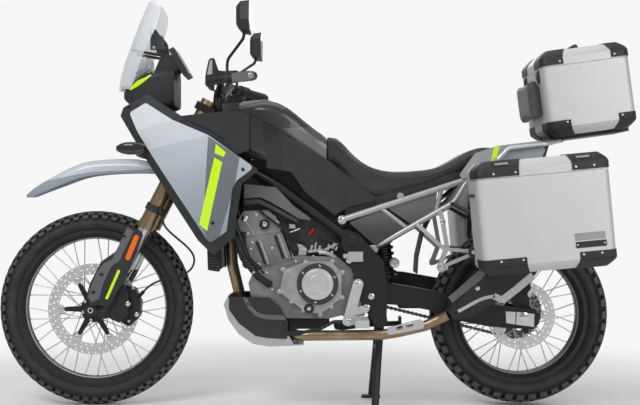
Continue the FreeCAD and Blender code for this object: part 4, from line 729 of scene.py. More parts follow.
finishes = {
    "front_tyre": rubber("front_tyre_rubber", *front_sizes),
    "rear_tyre": rubber("rear_tyre_rubber", *rear_sizes),
    "front_wheel": wheel_finish("front_wheel_metal", front_axle, 0.243),
    "rear_wheel": wheel_finish("rear_wheel_metal", rear_axle, 0.205),
    "disc": disc_finish(),
    "gold": brushed("fork_gold", (0.36, 0.25, 0.14), 0.3, 0.9, (1.0, 1.0, 0.25)),
    "chrome": plain("bright_steel", (0.66, 0.66, 0.67), 0.2, 1.0, 0.1, 60.0, 0.03),
    "cast": cast_finish("cast_grey", (0.3, 0.305, 0.31)),
    "cover": cover_finish(),
    "leg": leg_finish(),
    "subframe": subframe_finish(),
    "rack": rack_finish(),
    "fender": fender_finish(),
    "control": control_finish(),
    "radiator": radiator_finish(),
    "black_metal": plain("satin_black", (0.014, 0.014, 0.015), 0.42, 0.3, 0.35, 60.0, 0.15),
    "plastic": grained("black_plastic", (0.014, 0.0145, 0.0155)),
    "gloss_plastic": plain("gloss_black", (0.012, 0.012, 0.013), 0.22, 0.0, 0.3, 60.0, 0.03, Coat_Weight=0.4),
    "rubber": grained("grip_rubber", (0.012, 0.012, 0.012), 0.75, 500.0, 0.4),
    "panel": panel_finish(),
    "tank": tank_finish(),
    "seat": seat_finish(),
    "silver": plain("silver_paint", (0.4, 0.405, 0.41), 0.34, 0.6, 0.15, 50.0, 0.06),
    "bronze": heat_finish(),
    "silencer": plain("silencer_black", (0.03, 0.03, 0.032), 0.4, 0.4, 0.3, 60.0, 0.12),
    "skid": brushed("skid_sheet", (0.6, 0.605, 0.61), 0.34, 0.9, (0.3, 2.0, 1.0)),
    "chain": plain("chain_steel", (0.17, 0.155, 0.13), 0.36, 0.85, 0.4, 90.0, 0.2),
    "case": case_finish(),
    "screen": screen_finish(),
    "lens": lens_finish("lamp_lens", (0.75, 0.8, 0.84), 0.6),
    "orange": lens_finish("orange_lens", (0.95, 0.16, 0.0), 1.0),
    "red": lens_finish("red_lens", (0.45, 0.01, 0.008), 1.0),
    "smoke": lens_finish("smoke_lens", (0.02, 0.02, 0.022), 1.0),
    "yellow": plain("stripe_yellow", (0.6, 0.95, 0.0), 0.4, 0.0, 0.06, 60.0, 0.03),
    "tail": tail_finish(),
    # Grey trim, also used for painted highlight strips on the fork guard, the skid side and the silencer.
    "trim": plain("grey_trim_and_edge_highlight", (0.13, 0.132, 0.135), 0.42, 0.2, 0.2, 60.0, 0.1),
    # Bare alloy, also used for the painted highlight on the cylinder ribs.
    "bare": plain("bare_alloy_and_rib_highlight", (0.52, 0.525, 0.53), 0.34, 0.75, 0.2, 80.0, 0.1),
    "guard": grained("guard_plastic", (0.032, 0.033, 0.035), 0.5),
    "line": plain("light_edge", (0.42, 0.43, 0.44), 0.4, 0.1, 0.1, 60.0, 0.04),
    "seat_seam": plain("seat_seam", (0.03, 0.03, 0.031), 0.6, 0.0, 0.2, 400.0, 0.3),
    "pad": grained("pad_cover", (0.055, 0.056, 0.058), 0.62, 700.0, 0.35, Sheen_Weight=0.2),
    "display": plain("display_glass", (0.01, 0.011, 0.013), 0.08, 0.0, 0.2, 60.0, 0.01, Coat_Weight=0.8),
    "spring": plain("spring_black", (0.03, 0.03, 0.03), 0.35, 0.4, 0.3, 60.0, 0.06),
    "mirror": plain("mirror_glass", (0.75, 0.78, 0.8), 0.04, 1.0, 0.05, 60.0, 0.01),
}

node_finishes = {
    "front_tyre": "front_tyre", "rear_tyre": "rear_tyre", "front_wire_wheel": "front_wheel",
    "rear_wire_wheel": "rear_wheel",
    "front_disc": "disc", "rear_disc": "disc", "rear_sprocket": "chain", "fork_tubes": "gold",
    "fork_legs": "leg", "front_axle": "chrome", "yokes": "black_metal", "handlebar": "black_metal",
    "hand_controls": "rubber", "handguards": "plastic", "mirrors": "plastic", "front_fender": "fender",
    "fork_guards": "plastic", "front_caliper": "black_metal", "front_brake_hose": "rubber",
    "main_frame": "black_metal", "subframe": "subframe", "swingarm": "black_metal", "rear_axle": "chrome",
    "rear_shock": "spring", "drive_chain": "chain", "rear_caliper": "black_metal", "crankcase": "cast",
    "cylinders": "cast", "engine_covers": "cover", "airbox": "plastic", "radiator": "radiator",
    "exhaust_pipe": "bronze", "silencer": "silencer", "skid_plate": "skid", "skid_sides": "plastic",
    "fuel_tank": "tank", "tank_cap": "black_metal", "seat": "seat", "side_panels": "panel",
    "panel_surrounds": "plastic", "nose_cowl": "plastic", "headlamp": "lens", "windscreen": "screen",
    "side_covers": "plastic", "display": "plastic", "tail_panels": "tail", "rear_fender": "plastic",
    "lamps": "smoke",
    "luggage_rack": "rack", "side_racks": "black_metal", "side_case_near": "case", "side_case_far": "case",
    "side_lid_near": "case", "side_lid_far": "case", "top_case": "case", "top_lid": "case",
    "backrest_pad": "plastic", "foot_controls": "control", "centre_stand": "black_metal",
    "side_stand": "black_metal",
}
for node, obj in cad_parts.items():
    obj.data.materials.clear()
    obj.data.materials.append(finishes[node_finishes[node]])


# Small repeated parts, all along the third axis with their seat at zero

def screw_head(radius, height):
    """Domed head with a hexagon socket sunk in it."""
    angle = np.linspace(0, math.pi / 2, 4)
    dome = np.column_stack([radius * (0.72 + 0.28 * np.cos(angle)), height * (0.35 + 0.65 * np.sin(angle))])
    profile = [(radius * 1.0, 0.0), *dome, (radius * 0.48, height), (radius * 0.42, height * 0.45)]
    return turned(profile, 12)


def hex_head(radius, height):
    """Six-sided head on a round flange."""
    flange = turned([(radius * 1.25, 0.0), (radius * 1.25, height * 0.2), (radius * 1.0, height * 0.35)], 18)
    return flange + turned([(radius, height * 0.3), (radius, height * 0.9), (radius * 0.82, height)], 6)


def rivet_head(radius):
    """Low round dome."""
    angle = np.linspace(0, math.pi / 2 * 0.92, 5)
    return turned(np.column_stack([radius * np.cos(angle), 0.55 * radius * np.sin(angle)]), 12)


# Tyres

def tread_line(tip, half, drop):
    """Section of the tread as an arc through crown and shoulders, lowered by the drop."""
    shoulder = tip - 0.19 * half - 0.009
    side = 0.86 * half
    sag = tip - shoulder
    radius = (side * side + sag * sag) / (2 * sag)
    reach = math.asin(side / radius)

    def at(t):
        angle = np.asarray(t) * reach
        size = radius - drop
        return size * np.sin(angle), tip - radius + size * np.cos(angle)

    return at


def carcass(axle, tip, half, bead, bead_half, flange, lug):
    """Tyre section turned about the axle: tread arc lowered by the lugs' height, bulged walls and beads."""
    tread = tread_line(tip, half, lug)
    y, r = tread(np.linspace(-1.06, 1.06, 15))
    wide = (bead + flange + r[0]) / 2
    wall = np.linspace(0, 1, 9)[1:-1]
    wall_r = bead + flange + (r[0] - bead - flange) * wall
    bulge = (half - 0.001) - (half - abs(y[0])) * np.clip((wall_r - wide) / (r[0] - wide), 0, 1) ** 2
    bulge -= (half - bead_half - 0.002) * np.clip((wide - wall_r) / (wide - bead - flange), 0, 1) ** 2
    ridge = 0.0008 * np.cos(wall * 6 * math.pi) ** 8
    side = np.column_stack([-(bulge + ridge), wall_r])
    foot = np.array([(-(bead_half - 0.007), bead), (-bead_half, bead), (-bead_half, bead + flange)])
    inner = np.array([(0.0, tip - 0.018)])
    near = np.vstack([foot, side])
    far = near[::-1] * [-1, 1]
    section = np.vstack([near, np.column_stack([y, r]), far, inner])
    angle = np.linspace(0, 2 * math.pi, 144, endpoint=False)
    grid = np.stack([
        axle[0] + section[:, 1] * np.cos(angle)[:, None],
        section[:, 0] + 0 * angle[:, None],
        axle[1] + section[:, 1] * np.sin(angle)[:, None],
    ], axis=-1)
    return skin(grid, round_u=True, round_v=True)


def lugs(axle, tip, half, lug, rows, count):
    """Tread blocks: each a small frustum bent to the section, set in rows round the wheel."""
    tread_low = tread_line(tip, half, lug + 0.002)
    tread_high = tread_line(tip, half, 0.0)
    turn = np.arange(count) * 2 * math.pi / count
    shapes = nothing
    for middle, width, length, offset, skew in rows:
        t = middle + width * np.array([-1, 1, 1, -1]) / 2
        arc = (length * np.array([-1, -1, 1, 1]) / 2 + skew * np.array([-1, 1, 1, -1])) / tip
        rings = []
        for tread, shrink in ((tread_low, 1.1), (tread_high, 0.92)):
            y, r = tread(middle + (t - middle) * shrink)
            angle = turn[:, None] + offset * 2 * math.pi / count + arc[None] * shrink
            rings.append(np.stack([axle[0] + r * np.cos(angle), y + 0 * angle, axle[1] + r * np.sin(angle)],
                                  -1))
        points = np.concatenate(rings, axis=1)
        faces = np.array([(0, 1, 5, 4), (1, 2, 6, 5), (2, 3, 7, 6), (3, 0, 4, 7), (4, 5, 6, 7), (3, 2, 1, 0)])
        quads = faces[None] + np.arange(count)[:, None, None] * 8
        shapes = shapes + Shape(points, quads)
    return shapes


front_rows = [(-0.2, 0.34, 0.026, 0.0, 0.003), (0.2, 0.34, 0.026, 0.5, -0.003),
              (-0.62, 0.34, 0.023, 0.5, 0.002), (0.62, 0.34, 0.023, 0.0, -0.002),
              (-1.04, 0.36, 0.0225, 0.0, 0.0), (1.04, 0.36, 0.0225, 0.5, 0.0)]
rear_rows = [(-0.17, 0.28, 0.034, 0.0, 0.004), (0.17, 0.28, 0.034, 0.5, -0.004),
             (-0.52, 0.30, 0.031, 0.5, 0.003), (0.52, 0.30, 0.031, 0.0, -0.003),
             (-0.96, 0.40, 0.029, 0.0, 0.0), (0.96, 0.40, 0.029, 0.5, 0.0)]
rim_flange = 0.011


def tyre(end, sizes, bead, bead_half, rows, count):
    """Tyre of the front or rear wheel with its tread blocks."""
    axle, tip, half, lug = sizes
    shape = carcass(axle, tip, half, bead, bead_half, rim_flange, lug)
    shape = shape + lugs(axle, tip, half, lug, rows, count)
    piece(end + "_tyre_knobs", shape, finishes[end + "_tyre"], end + "_wheel", [end + "_tyre"], 32)


tyre("front", front_sizes, 0.268, 0.027, front_rows, 60)
tyre("rear", rear_sizes, 0.230, 0.046, rear_rows, 44)


# Brake discs

def drilled_ring(axle, inner, outer, y0, y1, rows, count, hole, corners=16):
    """Flat ring of cells on a polar grid, each with a round hole, further round in each outer row."""
    edges = np.linspace(inner, outer, rows + 1)
    cell = np.arange(corners) * 2 * math.pi / corners
    square = np.column_stack([np.cos(cell), np.sin(cell)])
    square /= np.abs(square).max(axis=1, keepdims=True)
    step = 2 * math.pi / count
    start = np.arange(count) * step
    k = np.arange(corners)
    n = np.roll(k, -1)
    shapes = nothing
    for row in range(rows):
        middle = (edges[row] + edges[row + 1]) / 2
        half = (edges[row + 1] - edges[row]) / 2
        shift = (row - (rows - 1) / 2) * 0.3 * step
        cell_r = middle + half * square[:, 1] + 0 * start[:, None]
        cell_a = start[:, None] + step / 2 * square[:, 0]
        hole_r = middle + hole * np.sin(cell) + 0 * start[:, None]
        hole_a = start[:, None] + shift + hole * np.cos(cell) / middle
        rings = []
        for y, r, a in ((y0, hole_r, hole_a), (y0, cell_r, cell_a), (y1, cell_r, cell_a),
                        (y1, hole_r, hole_a)):
            rings.append(np.stack([axle[0] + r * np.cos(a), y + 0 * a, axle[1] + r * np.sin(a)], -1))
        points = np.stack(rings, axis=1)
        faces = [np.column_stack([k + i * corners, n + i * corners, n + j * corners, k + j * corners])
                 for i, j in ((0, 1), (2, 3), (3, 0))]
        for level, last in ((-1, 0), (1, rows - 1)):
            if row == last:
                on_edge = np.abs(square[:, 1] - level) < 1e-6
                edge = on_edge & np.roll(on_edge, -1)
                faces.append(np.column_stack([k + corners, n + corners, n + 2 * corners,
                                              k + 2 * corners])[edge])
        faces = np.concatenate(faces)
        quads = faces[None] + np.arange(count)[:, None, None] * 4 * corners
        shapes = shapes + Shape(points.reshape(-1, 3), quads)
    return shapes


def disc_carrier(axle, y0, y1, bore, valley, reach, arms):
    """Star of rounded arms: outer radius follows a cosine raised to a power round the hub."""
    angle = np.linspace(0, 2 * math.pi, arms * 24, endpoint=False)
    wave = (0.5 + 0.5 * np.cos(arms * angle)) ** 7
    outer = valley + (reach - valley) * wave
    inner = bore + 0 * angle
    rows = [(inner, y0), (outer - 0.001, y0), (outer, y0 + 0.001), (outer, y1 - 0.001), (outer - 0.001, y1),
            (inner, y1)]
    grid = np.array([np.column_stack([axle[0] + r * np.cos(angle), y + 0 * angle,
                                      axle[1] + r * np.sin(angle)])
                     for r, y in rows])
    return skin(grid, round_u=True, round_v=True)


def brake_disc(name, axle, inner, outer, rows, count, arms, body):
    """Drilled ring on a dark carrier, joined by bright buttons, and bolted to the hub."""
    y = -0.066
    half = 0.00225
    piece(name + "_ring", drilled_ring(axle, inner, outer, y - half, y + half, rows, count, 0.0034),
          finishes["disc"], body, [name], 30)
    piece(name + "_carrier", disc_carrier(axle, y - half + 0.0003, y + half - 0.0003, 0.0245, 0.046,
                                          inner - 0.002, arms),
          finishes["black_metal"], body)
    ear = turned([(0.0145, -half - 0.0001), (0.0155, 0.0), (0.0145, half + 0.0001)], 20)
    piece(name + "_ears", ear.placed(around(axle, inner - 0.005, arms, y)), finishes["disc"], body)
    button = turned([(0.0070, -0.0036), (0.0078, 0.0036), (0.006, 0.0044), (0.0035, 0.0044),
                     (0.0032, 0.002)], 16)
    bolt = screw_head(0.0062, 0.004)
    metal = button.placed(around(axle, inner - 0.007, arms, y)) \
        + bolt.placed(around(axle, 0.039, arms, y - half, 0.3))
    piece(name + "_buttons", metal, finishes["chrome"], body)


brake_disc("front_disc", front_axle, 0.122, 0.160, 3, 40, 6, "front_wheel")
brake_disc("rear_disc", rear_axle, 0.088, 0.120, 2, 32, 5, "rear_wheel")


# The front brake hose, from its clamp on the fork to the caliper

hose_route = [
    (-0.522, -0.134, 0.678), (-0.517, -0.136, 0.649), (-0.500, -0.137, 0.624), (-0.465, -0.138, 0.594),
    (-0.434, -0.138, 0.569), (-0.411, -0.136, 0.541), (-0.407, -0.134, 0.514), (-0.419, -0.131, 0.487),
    (-0.449, -0.127, 0.468), (-0.493, -0.123, 0.457), (-0.536, -0.118, 0.447), (-0.571, -0.110, 0.428),
    (-0.590, -0.098, 0.408),
]
hose_line = bpy.data.curves.new("brake_hose", "CURVE")
hose_line.dimensions = "3D"
hose_line.bevel_depth = 0.0036
hose_line.bevel_resolution = 4
hose_line.resolution_u = 24
hose_line.use_fill_caps = True
spline = hose_line.splines.new("NURBS")
spline.points.add(len(hose_route) - 1)
spline.points.foreach_set("co", np.column_stack([hose_route, np.ones(len(hose_route))]).ravel())
spline.order_u = 3
spline.use_endpoint_u = True
hose_line.materials.append(finishes["rubber"])
hose = bpy.data.objects.new("brake_hose", hose_line)
bpy.context.collection.objects.link(hose)
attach(hose, "steering")
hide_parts("front_brake_hose")


# Cases: rounded in plan, their upper and lower edges sloped in, black corners on them

case_wall = 0.002


class Case:
    """Form of one case in its own frame, where the seam between body and lid is at zero height."""

    def __init__(self, seam, tilt, half, outer, inner, share, radius=0.026):
        turn = Matrix.Rotation(-math.radians(tilt), 4, "Y")
        self.near = np.array(Matrix.Translation((seam[0], 0, seam[1])) @ turn)
        self.far = mirrored @ self.near
        self.half = half
        self.outer = outer
        self.inner = inner
        self.share = share
        corners = []
        for cx, cy, start in ((-half + radius, outer + radius, 270), (-half + radius, inner - radius, 180),
                              (half - radius, inner - radius, 90), (half - radius, outer + radius, 0)):
            angle = np.radians(np.linspace(start, start - 90, 7))
            corners.append(np.column_stack([cx + radius * np.cos(angle), cy + radius * np.sin(angle)]))
        ring = np.vstack([[(0.0, outer)], *corners, [(0.0, outer)]])
        self.ring = ring
        self.length = np.concatenate([[0.0], np.cumsum(np.linalg.norm(np.diff(ring, axis=0), axis=1))])

    def grid(self, s, levels, wall=0.0):
        """Points at lengths s round the plan, from the middle of the outer side on, on levels of (z, inset),
        all of them the wall's thickness further in."""
        x = np.interp(s, self.length, self.ring[:, 0])
        y = np.interp(s, self.length, self.ring[:, 1])
        part = (y - self.outer) / (self.inner - self.outer)
        rows = []
        for z, inset in levels:
            low = self.outer + inset + wall
            high = self.inner - inset * self.share - wall
            rows.append(np.column_stack([x * (self.half - inset - wall) / self.half,
                                         low + part * (high - low),
                                         z + 0 * x]))
        return np.array(rows)

    def patch(self, s0, s1, levels, inward, outward):
        """Plate that follows the case between two lengths round its plan."""
        inner_s = self.length[(self.length > s0 + 1e-4) & (self.length < s1 - 1e-4)]
        s = np.concatenate([[s0], inner_s, [s1]])
        middle = (0, (self.outer + self.inner) / 2, np.mean(levels, axis=0)[0])
        return thickened(self.grid(s, levels), inward, outward, middle)

    def sheet(self, levels):
        """Closed shell all round, one wall thick, with its end drawn together and closed."""
        s = self.length[:-1]
        outer = self.grid(s, levels)
        way = 1 if levels[-1][0] < 0 else -1
        inner_levels = [(z + (case_wall if i >= len(levels) - 2 else 0.0) * way, inset)
                        for i, (z, inset) in enumerate(levels)]
        inner = self.grid(s, inner_levels, case_wall)
        rows = np.concatenate([outer[::-1], inner])
        return skin(rows, round_v=True, cap_start=True, cap_end=True)


def case_levels(top, slope, inset, steps=3):
    """Levels of a case: straight up to the slope, then in over it, then across to the middle."""
    sign = math.copysign(1, top)
    bend = [(top - sign * slope * (1 - k / steps), inset * (1 - math.cos(k / steps * math.pi / 2)) ** 0.8)
            for k in range(steps + 1)]
    return [(sign * 0.0006, 0.0)] + bend + [(top, inset + 0.03)]


def dress_case(prefix, case, height, lid, slope, inset, bodies, replaced, far=False, front=0.14, rear=0.12):
    """Body and lid of sheet; the shapes of the black corners and their rivets are returned."""
    matrix = [case.far if far else case.near]
    body, lid_body = bodies
    low = case_levels(-height, slope, inset)
    high = case_levels(lid, slope, inset)
    total = case.length[-1]
    side = case.half
    piece(prefix + "_body_sheet", case.sheet(low).placed(matrix), finishes["case"], body,
          [replaced[0]], 25)
    piece(prefix + "_lid_sheet", case.sheet(high).placed(matrix), finishes["case"], lid_body,
          [replaced[1]], 25)
    wrap = side + min((case.inner - case.outer) * 0.5, 0.1122)
    corner_high = [(0.004, 0.0)] + high[1:]
    corner_low = [(-height + slope + 0.022, 0.0)] + low[1:]
    step_low = [(-height + slope - 0.002, 0.0)] + low[2:]
    lid_caps = case.patch(side - front, wrap, corner_high, 0.001, 0.0026) \
        + case.patch(total - wrap, total - side + rear, corner_high, 0.001, 0.0026)
    body_caps = case.patch(side - front, wrap, corner_low, 0.001, 0.0022) \
        + case.patch(total - wrap, total - side + rear, corner_low, 0.001, 0.0022)
    body_caps = body_caps + case.patch(side - front + 0.004, wrap - 0.004, step_low, 0.001, 0.003) \
        + case.patch(total - wrap + 0.004, total - side + rear - 0.004, step_low, 0.001, 0.003)
    rivet = rivet_head(0.0042)
    small = rivet_head(0.0026)
    y = case.outer
    ends = [-side + front - 0.012, side - rear + 0.012]
    middles = [-side + 0.058, side - 0.050] if side > 0.2 else []
    lid_metal = rivet.placed([turn_to(to_near, (x, y - 0.0026, 0.014)) for x in ends + middles])
    low_z = -height + slope + 0.014
    body_metal = rivet.placed([turn_to(to_near, (x, y - 0.0022, low_z)) for x in ends + middles])
    body_metal = body_metal + small.placed([turn_to(to_near, (x, y, -0.017)) for x in
                                            np.linspace(-side + 0.03, side - 0.03, 6)])
    lid_metal = lid_metal + small.placed([turn_to(to_near, (x, y, 0.014)) for x in
                                          np.linspace(-side + front + 0.03, side - rear - 0.03, 2)])
    return matrix, lid_caps, body_caps, lid_metal, body_metal


def finish_case(prefix, parts, bodies):
    """Pieces of a case's black and bright parts."""
    matrix, lid_caps, body_caps, lid_metal, body_metal = parts
    body, lid_body = bodies
    piece(prefix + "_lid_corners", lid_caps.placed(matrix), finishes["plastic"], lid_body,
          (), 40)
    piece(prefix + "_body_corners", body_caps.placed(matrix), finishes["plastic"], body, (),
          40)
    piece(prefix + "_lid_metal", lid_metal.placed(matrix), finishes["chrome"], lid_body, (), 40)
    piece(prefix + "_body_metal", body_metal.placed(matrix), finishes["chrome"], body, (), 40)


def at_face(x, y, z, size, axis=to_near, chamfer=0.0012):
    """Small block set on a face, its third side along the axis."""
    return brick(size, chamfer).placed([turn_to(axis, (x, y, z))])


side_form = Case((0.735, 0.810), 5.3, 0.2145, -0.4748, -0.2503, 0.0)
for prefix, far, bodies, replaced in (
        ("near_case", False, ("chassis", "lid_near"), ("side_case_near", "side_lid_near")),
        ("far_case", True, ("chassis", "lid_far"), ("side_case_far", "side_lid_far"))):
    parts = dress_case(prefix, side_form, 0.3075, 0.0545, 0.028, 0.026, bodies, replaced, far)
    matrix, lid_caps, body_caps, lid_metal, body_metal = parts
    y = side_form.outer
    slope_way = (0, -math.sin(math.radians(50)), math.cos(math.radians(50)))
    for x in (-0.128, 0.132):
        pocket = at_face(x, y + 0.0085, 0.0425, (0.062, 0.020, 0.0026), slope_way)
        bar = at_face(x, y + 0.0062, 0.0445, (0.044, 0.009, 0.004), slope_way)
        lid_caps = lid_caps + pocket
        lid_metal = lid_metal + bar
    plate = at_face(0.131, y - 0.0006, -0.2085, (0.098, 0.023, 0.0016), chamfer=0.0005)
    strip = at_face(0.133, y - 0.0008, -0.2345, (0.098, 0.020, 0.0020), chamfer=0.0006)
    screws = rivet_head(0.003).placed([turn_to(to_near, (x, y - 0.0018, -0.2345)) for x in (0.090, 0.176)])
    rear = side_form.half
    latch = at_face(rear + 0.001, -0.365, -0.048, (0.050, 0.060, 0.006), (1, 0, 0)) \
        + at_face(rear + 0.0015, -0.365, -0.155, (0.034, 0.036, 0.006), (1, 0, 0))
    hasp = at_face(rear + 0.001, -0.365, 0.012, (0.030, 0.018, 0.006), (1, 0, 0))
    carry = tube(curve_through([(-rear - 0.001, -0.30, -0.05), (-rear - 0.0025, -0.32, -0.048),
                                (-rear - 0.0025, -0.40, -0.048), (-rear - 0.001, -0.42, -0.05)], 20), 0.004,
                 8)
    parts = (matrix, lid_caps, body_caps + strip + carry, lid_metal + hasp,
             body_metal + plate + screws + latch)
    finish_case(prefix, parts, bodies)

top_form = Case((0.9335, 1.200), 7.6, 0.1508, -0.197, 0.197, 1.0)
bodies = ("chassis", "lid_top")
parts = dress_case("top_box", top_form, 0.2375, 0.0545, 0.028, 0.026, bodies, ("top_case", "top_lid"), False,
                   0.075, 0.062)
matrix = parts[0]
other_side = [np.eye(4), mirrored]
lid_caps, body_caps, lid_metal, body_metal = [shape.placed(other_side) for shape in parts[1:]]
handle = tube(curve_through([(0.0, -0.085, 0.054), (0.0, -0.078, 0.068), (0.0, -0.05, 0.0715),
                             (0.0, 0.05, 0.0715), (0.0, 0.078, 0.068),
                             (0.0, 0.085, 0.054)], 40), 0.0075, 12)
foot_size = (0.036, 0.024, 0.006)
feet = at_face(0.0, -0.085, 0.055, foot_size, (0, 0, 1)) + at_face(0.0, 0.085, 0.055, foot_size, (0, 0, 1))
front = top_form.half
hinges = nothing
for y in (-0.12, 0.12):
    hinges = hinges + prism([(-front - 0.001, -0.002), (-front + 0.006, -0.002), (-front + 0.006, -0.040),
                             (-front - 0.001, -0.046), (-front - 0.006, -0.030), (-front - 0.006, -0.008)],
                            y - 0.022, y + 0.022, 0.001)
lock = at_face(front + 0.001, 0.0, -0.030, (0.05, 0.06, 0.006), (1, 0, 0))
hook = at_face(front + 0.001, 0.0, 0.014, (0.026, 0.02, 0.005), (1, 0, 0))
parts = (matrix, lid_caps + handle + feet, body_caps + hinges, lid_metal + hook, body_metal + lock)
finish_case("top_box", parts, bodies)


# Trims seen on the near side, some of them on both sides

trees = {}


def on_side(node, x, z, side=-1):
    """Outermost point of a node where it is seen from one side, at the given X and Z."""
    if node not in trees:
        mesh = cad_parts[node].data
        points = np.empty(len(mesh.vertices) * 3)
        mesh.vertices.foreach_get("co", points)
        trees[node] = BVHTree.FromPolygons(points.reshape(-1, 3).tolist(),
                                           [tuple(p.vertices) for p in mesh.polygons])
    place, normal = trees[node].ray_cast(Vector((x, side * 2.0, z)), Vector((0, -side, 0)))[:2]
    if place is None:
        raise ValueError("nothing of " + node + " at " + str((x, z)))
    return place, normal


def heads(node, template, spots, side=-1, flat=False):
    """Copies of a small head set on a node at the given X, Z spots, square to its surface."""
    matrices = []
    for x, z in spots:
        place, normal = on_side(node, x, z, side)
        matrices.append(turn_to((0, side, 0) if flat else normal, place))
    return template.placed(matrices)


def ribbon(line, width, y0, y1, chamfer=0.001):
    """Bar of even width along a line of X, Z points, from y0 to y1."""
    line = np.asarray(line, float)
    way = np.gradient(line, axis=0)
    way /= np.linalg.norm(way, axis=1, keepdims=True)
    side = np.column_stack([-way[:, 1], way[:, 0]]) * width / 2
    left = line + side
    right = line - side
    small = 1 - 2 * chamfer / width
    rows = []
    for edge, y in ((left, y1), (line + side * small, y0), (line - side * small, y0), (right, y1)):
        rows.append(np.column_stack([edge[:, 0], np.full(len(line), y), edge[:, 1]]))
    grid = np.stack(rows, axis=1)
    return skin(grid, round_v=True, cap_start=True, cap_end=True)


def capsule(first, second, width, y0, y1, chamfer=0.001):
    """Bar with round ends between two X, Z points."""
    way = np.asarray(second, float) - first
    base = math.atan2(way[1], way[0])
    turn = np.linspace(-math.pi / 2, math.pi / 2, 9)
    ends = [np.asarray(point) + width / 2 * np.column_stack([np.cos(base + start + turn),
                                                             np.sin(base + start + turn)])
            for point, start in ((second, 0.0), (first, math.pi))]
    return prism(np.vstack(ends), y0, y1, chamfer)


cover_bolt_spots = [(-0.100, 0.488), (-0.112, 0.412), (-0.022, 0.514), (0.070, 0.516), (0.104, 0.478),
                    (0.104, 0.392), (0.028, 0.331), (-0.030, 0.347), (-0.072, 0.378), (0.066, 0.360)]
bolt = screw_head(0.0058, 0.0045)
big_bolt = hex_head(0.0085, 0.006)
cover_bolts = heads("engine_covers", bolt, cover_bolt_spots, flat=True)
dial = [turn_to(to_near, (0.019 + 0.063 * math.cos(a), -0.1593, 0.439 + 0.063 * math.sin(a)))
        for a in np.arange(6) * math.pi / 3 + 0.4]
cover_bolts = cover_bolts + screw_head(0.0042, 0.003).placed(dial)
piece("cover_bolts", cover_bolts, finishes["chrome"], "chassis")
face = turned([(0.050, 0.0), (0.050, 0.0012), (0.046, 0.0022), (0.034, 0.0022), (0.032, 0.0008),
               (0.030, 0.0022), (0.012, 0.0030), (0.010, 0.0012), (0.0045, 0.0012)], 60)
piece("cover_disc", face.placed([turn_to(to_near, (0.019, -0.1652, 0.439))]), finishes["cover"], "chassis")
far_cover_spots = [(-0.119, 0.488), (-0.021, 0.501), (0.029, 0.472), (0.037, 0.402), (-0.003, 0.354),
                   (-0.136, 0.430)]
far_ring = [(-0.050 + 0.059 * math.cos(a), 0.430 + 0.059 * math.sin(a)) for a in np.arange(6) * math.pi / 3]
piece("far_cover_bolts", heads("engine_covers", bolt, far_cover_spots + far_ring, 1, True),
      finishes["chrome"],
      "chassis")
for side, word in sides:
    head_bolts = heads("cylinders", big_bolt, [(-0.165, 0.645), (-0.236, 0.664)], side, True) \
        + heads("cylinders", bolt, [(-0.226, 0.612), (-0.120, 0.650), (-0.196, 0.676), (-0.140, 0.560),
                                    (-0.210, 0.580), (-0.170, 0.520)], side, True)
    frame_bolts = heads("main_frame", big_bolt, [(0.205, 0.395), (0.128, 0.520), (0.160, 0.438)], side, True)
    piece("engine_bolts_" + word, head_bolts + frame_bolts, finishes["chrome"], "chassis")

panel_screw = screw_head(0.0062, 0.002)
for side, word in sides:
    spots = heads("side_panels", panel_screw, [(-0.2346, 0.8323), (-0.3387, 0.6502)], side) \
        + heads("panel_surrounds", panel_screw, [(-0.628, 1.050), (-0.272, 0.720)], side)
    piece("panel_screws_" + word, spots, finishes["black_metal"], "chassis")
    y = side * 0.138
    piece("fork_reflector_" + word, capsule((-0.6085, 0.5985), (-0.6375, 0.5285), 0.0185, y + side * 0.0035,
                                            y - side * 0.001, 0.002),
          finishes["orange"], "steering")
    stripe = ribbon([(-0.668, 0.486), (-0.690, 0.436), (-0.712, 0.386)], 0.010, y + side * 0.0008,
                    y - side * 0.001,
                    0.0003)
    piece("fork_stripe_" + word, stripe, finishes["yellow"], "steering")

# Silencer: bright guard along its lower edge, and a grey strip painted along the upper one as a highlight
guard = ribbon(curve_through([(0.494, 0.352), (0.572, 0.393), (0.618, 0.404)], 12), 0.013, -0.2362, -0.200,
               0.001) \
    + ribbon([(0.614, 0.404), (0.643, 0.391), (0.652, 0.396)], 0.024, -0.2362, -0.196, 0.001) \
    + ribbon([(0.640, 0.388), (0.690, 0.426), (0.7465, 0.474)], 0.028, -0.2366, -0.190, 0.0015)
piece("silencer_guard", guard, finishes["chrome"], "chassis")
# Painted highlight: a grey strip along the silencer's upper edge.
strip = ribbon([(0.470, 0.388), (0.506, 0.418), (0.560, 0.466), (0.610, 0.508)], 0.022, -0.2302, -0.196,
               0.001)
piece("silencer_top_highlight", strip, finishes["trim"], "chassis")
piece("silencer_bolts", heads("silencer", hex_head(0.006, 0.004), [(0.560, 0.430), (0.700, 0.500)],
                              flat=True),
      finishes["chrome"], "chassis")

# Rear axle: adjusting blocks, nut and end
for side, word in sides:
    y = side * 0.1232
    blocks = prism([(0.671, 0.343), (0.707, 0.341), (0.705, 0.296), (0.673, 0.301)], y, y + side * 0.0062,
                   0.001) \
        + prism([(0.709, 0.3415), (0.772, 0.334), (0.770, 0.288), (0.707, 0.296)], y, y + side * 0.0075,
                0.001)
    nut = hex_head(0.0135, 0.007).placed([turn_to((0, side, 0), (0.735, y + side * 0.0072, 0.323))])
    piece("axle_blocks_" + word, blocks + nut, finishes["chrome"], "chassis")

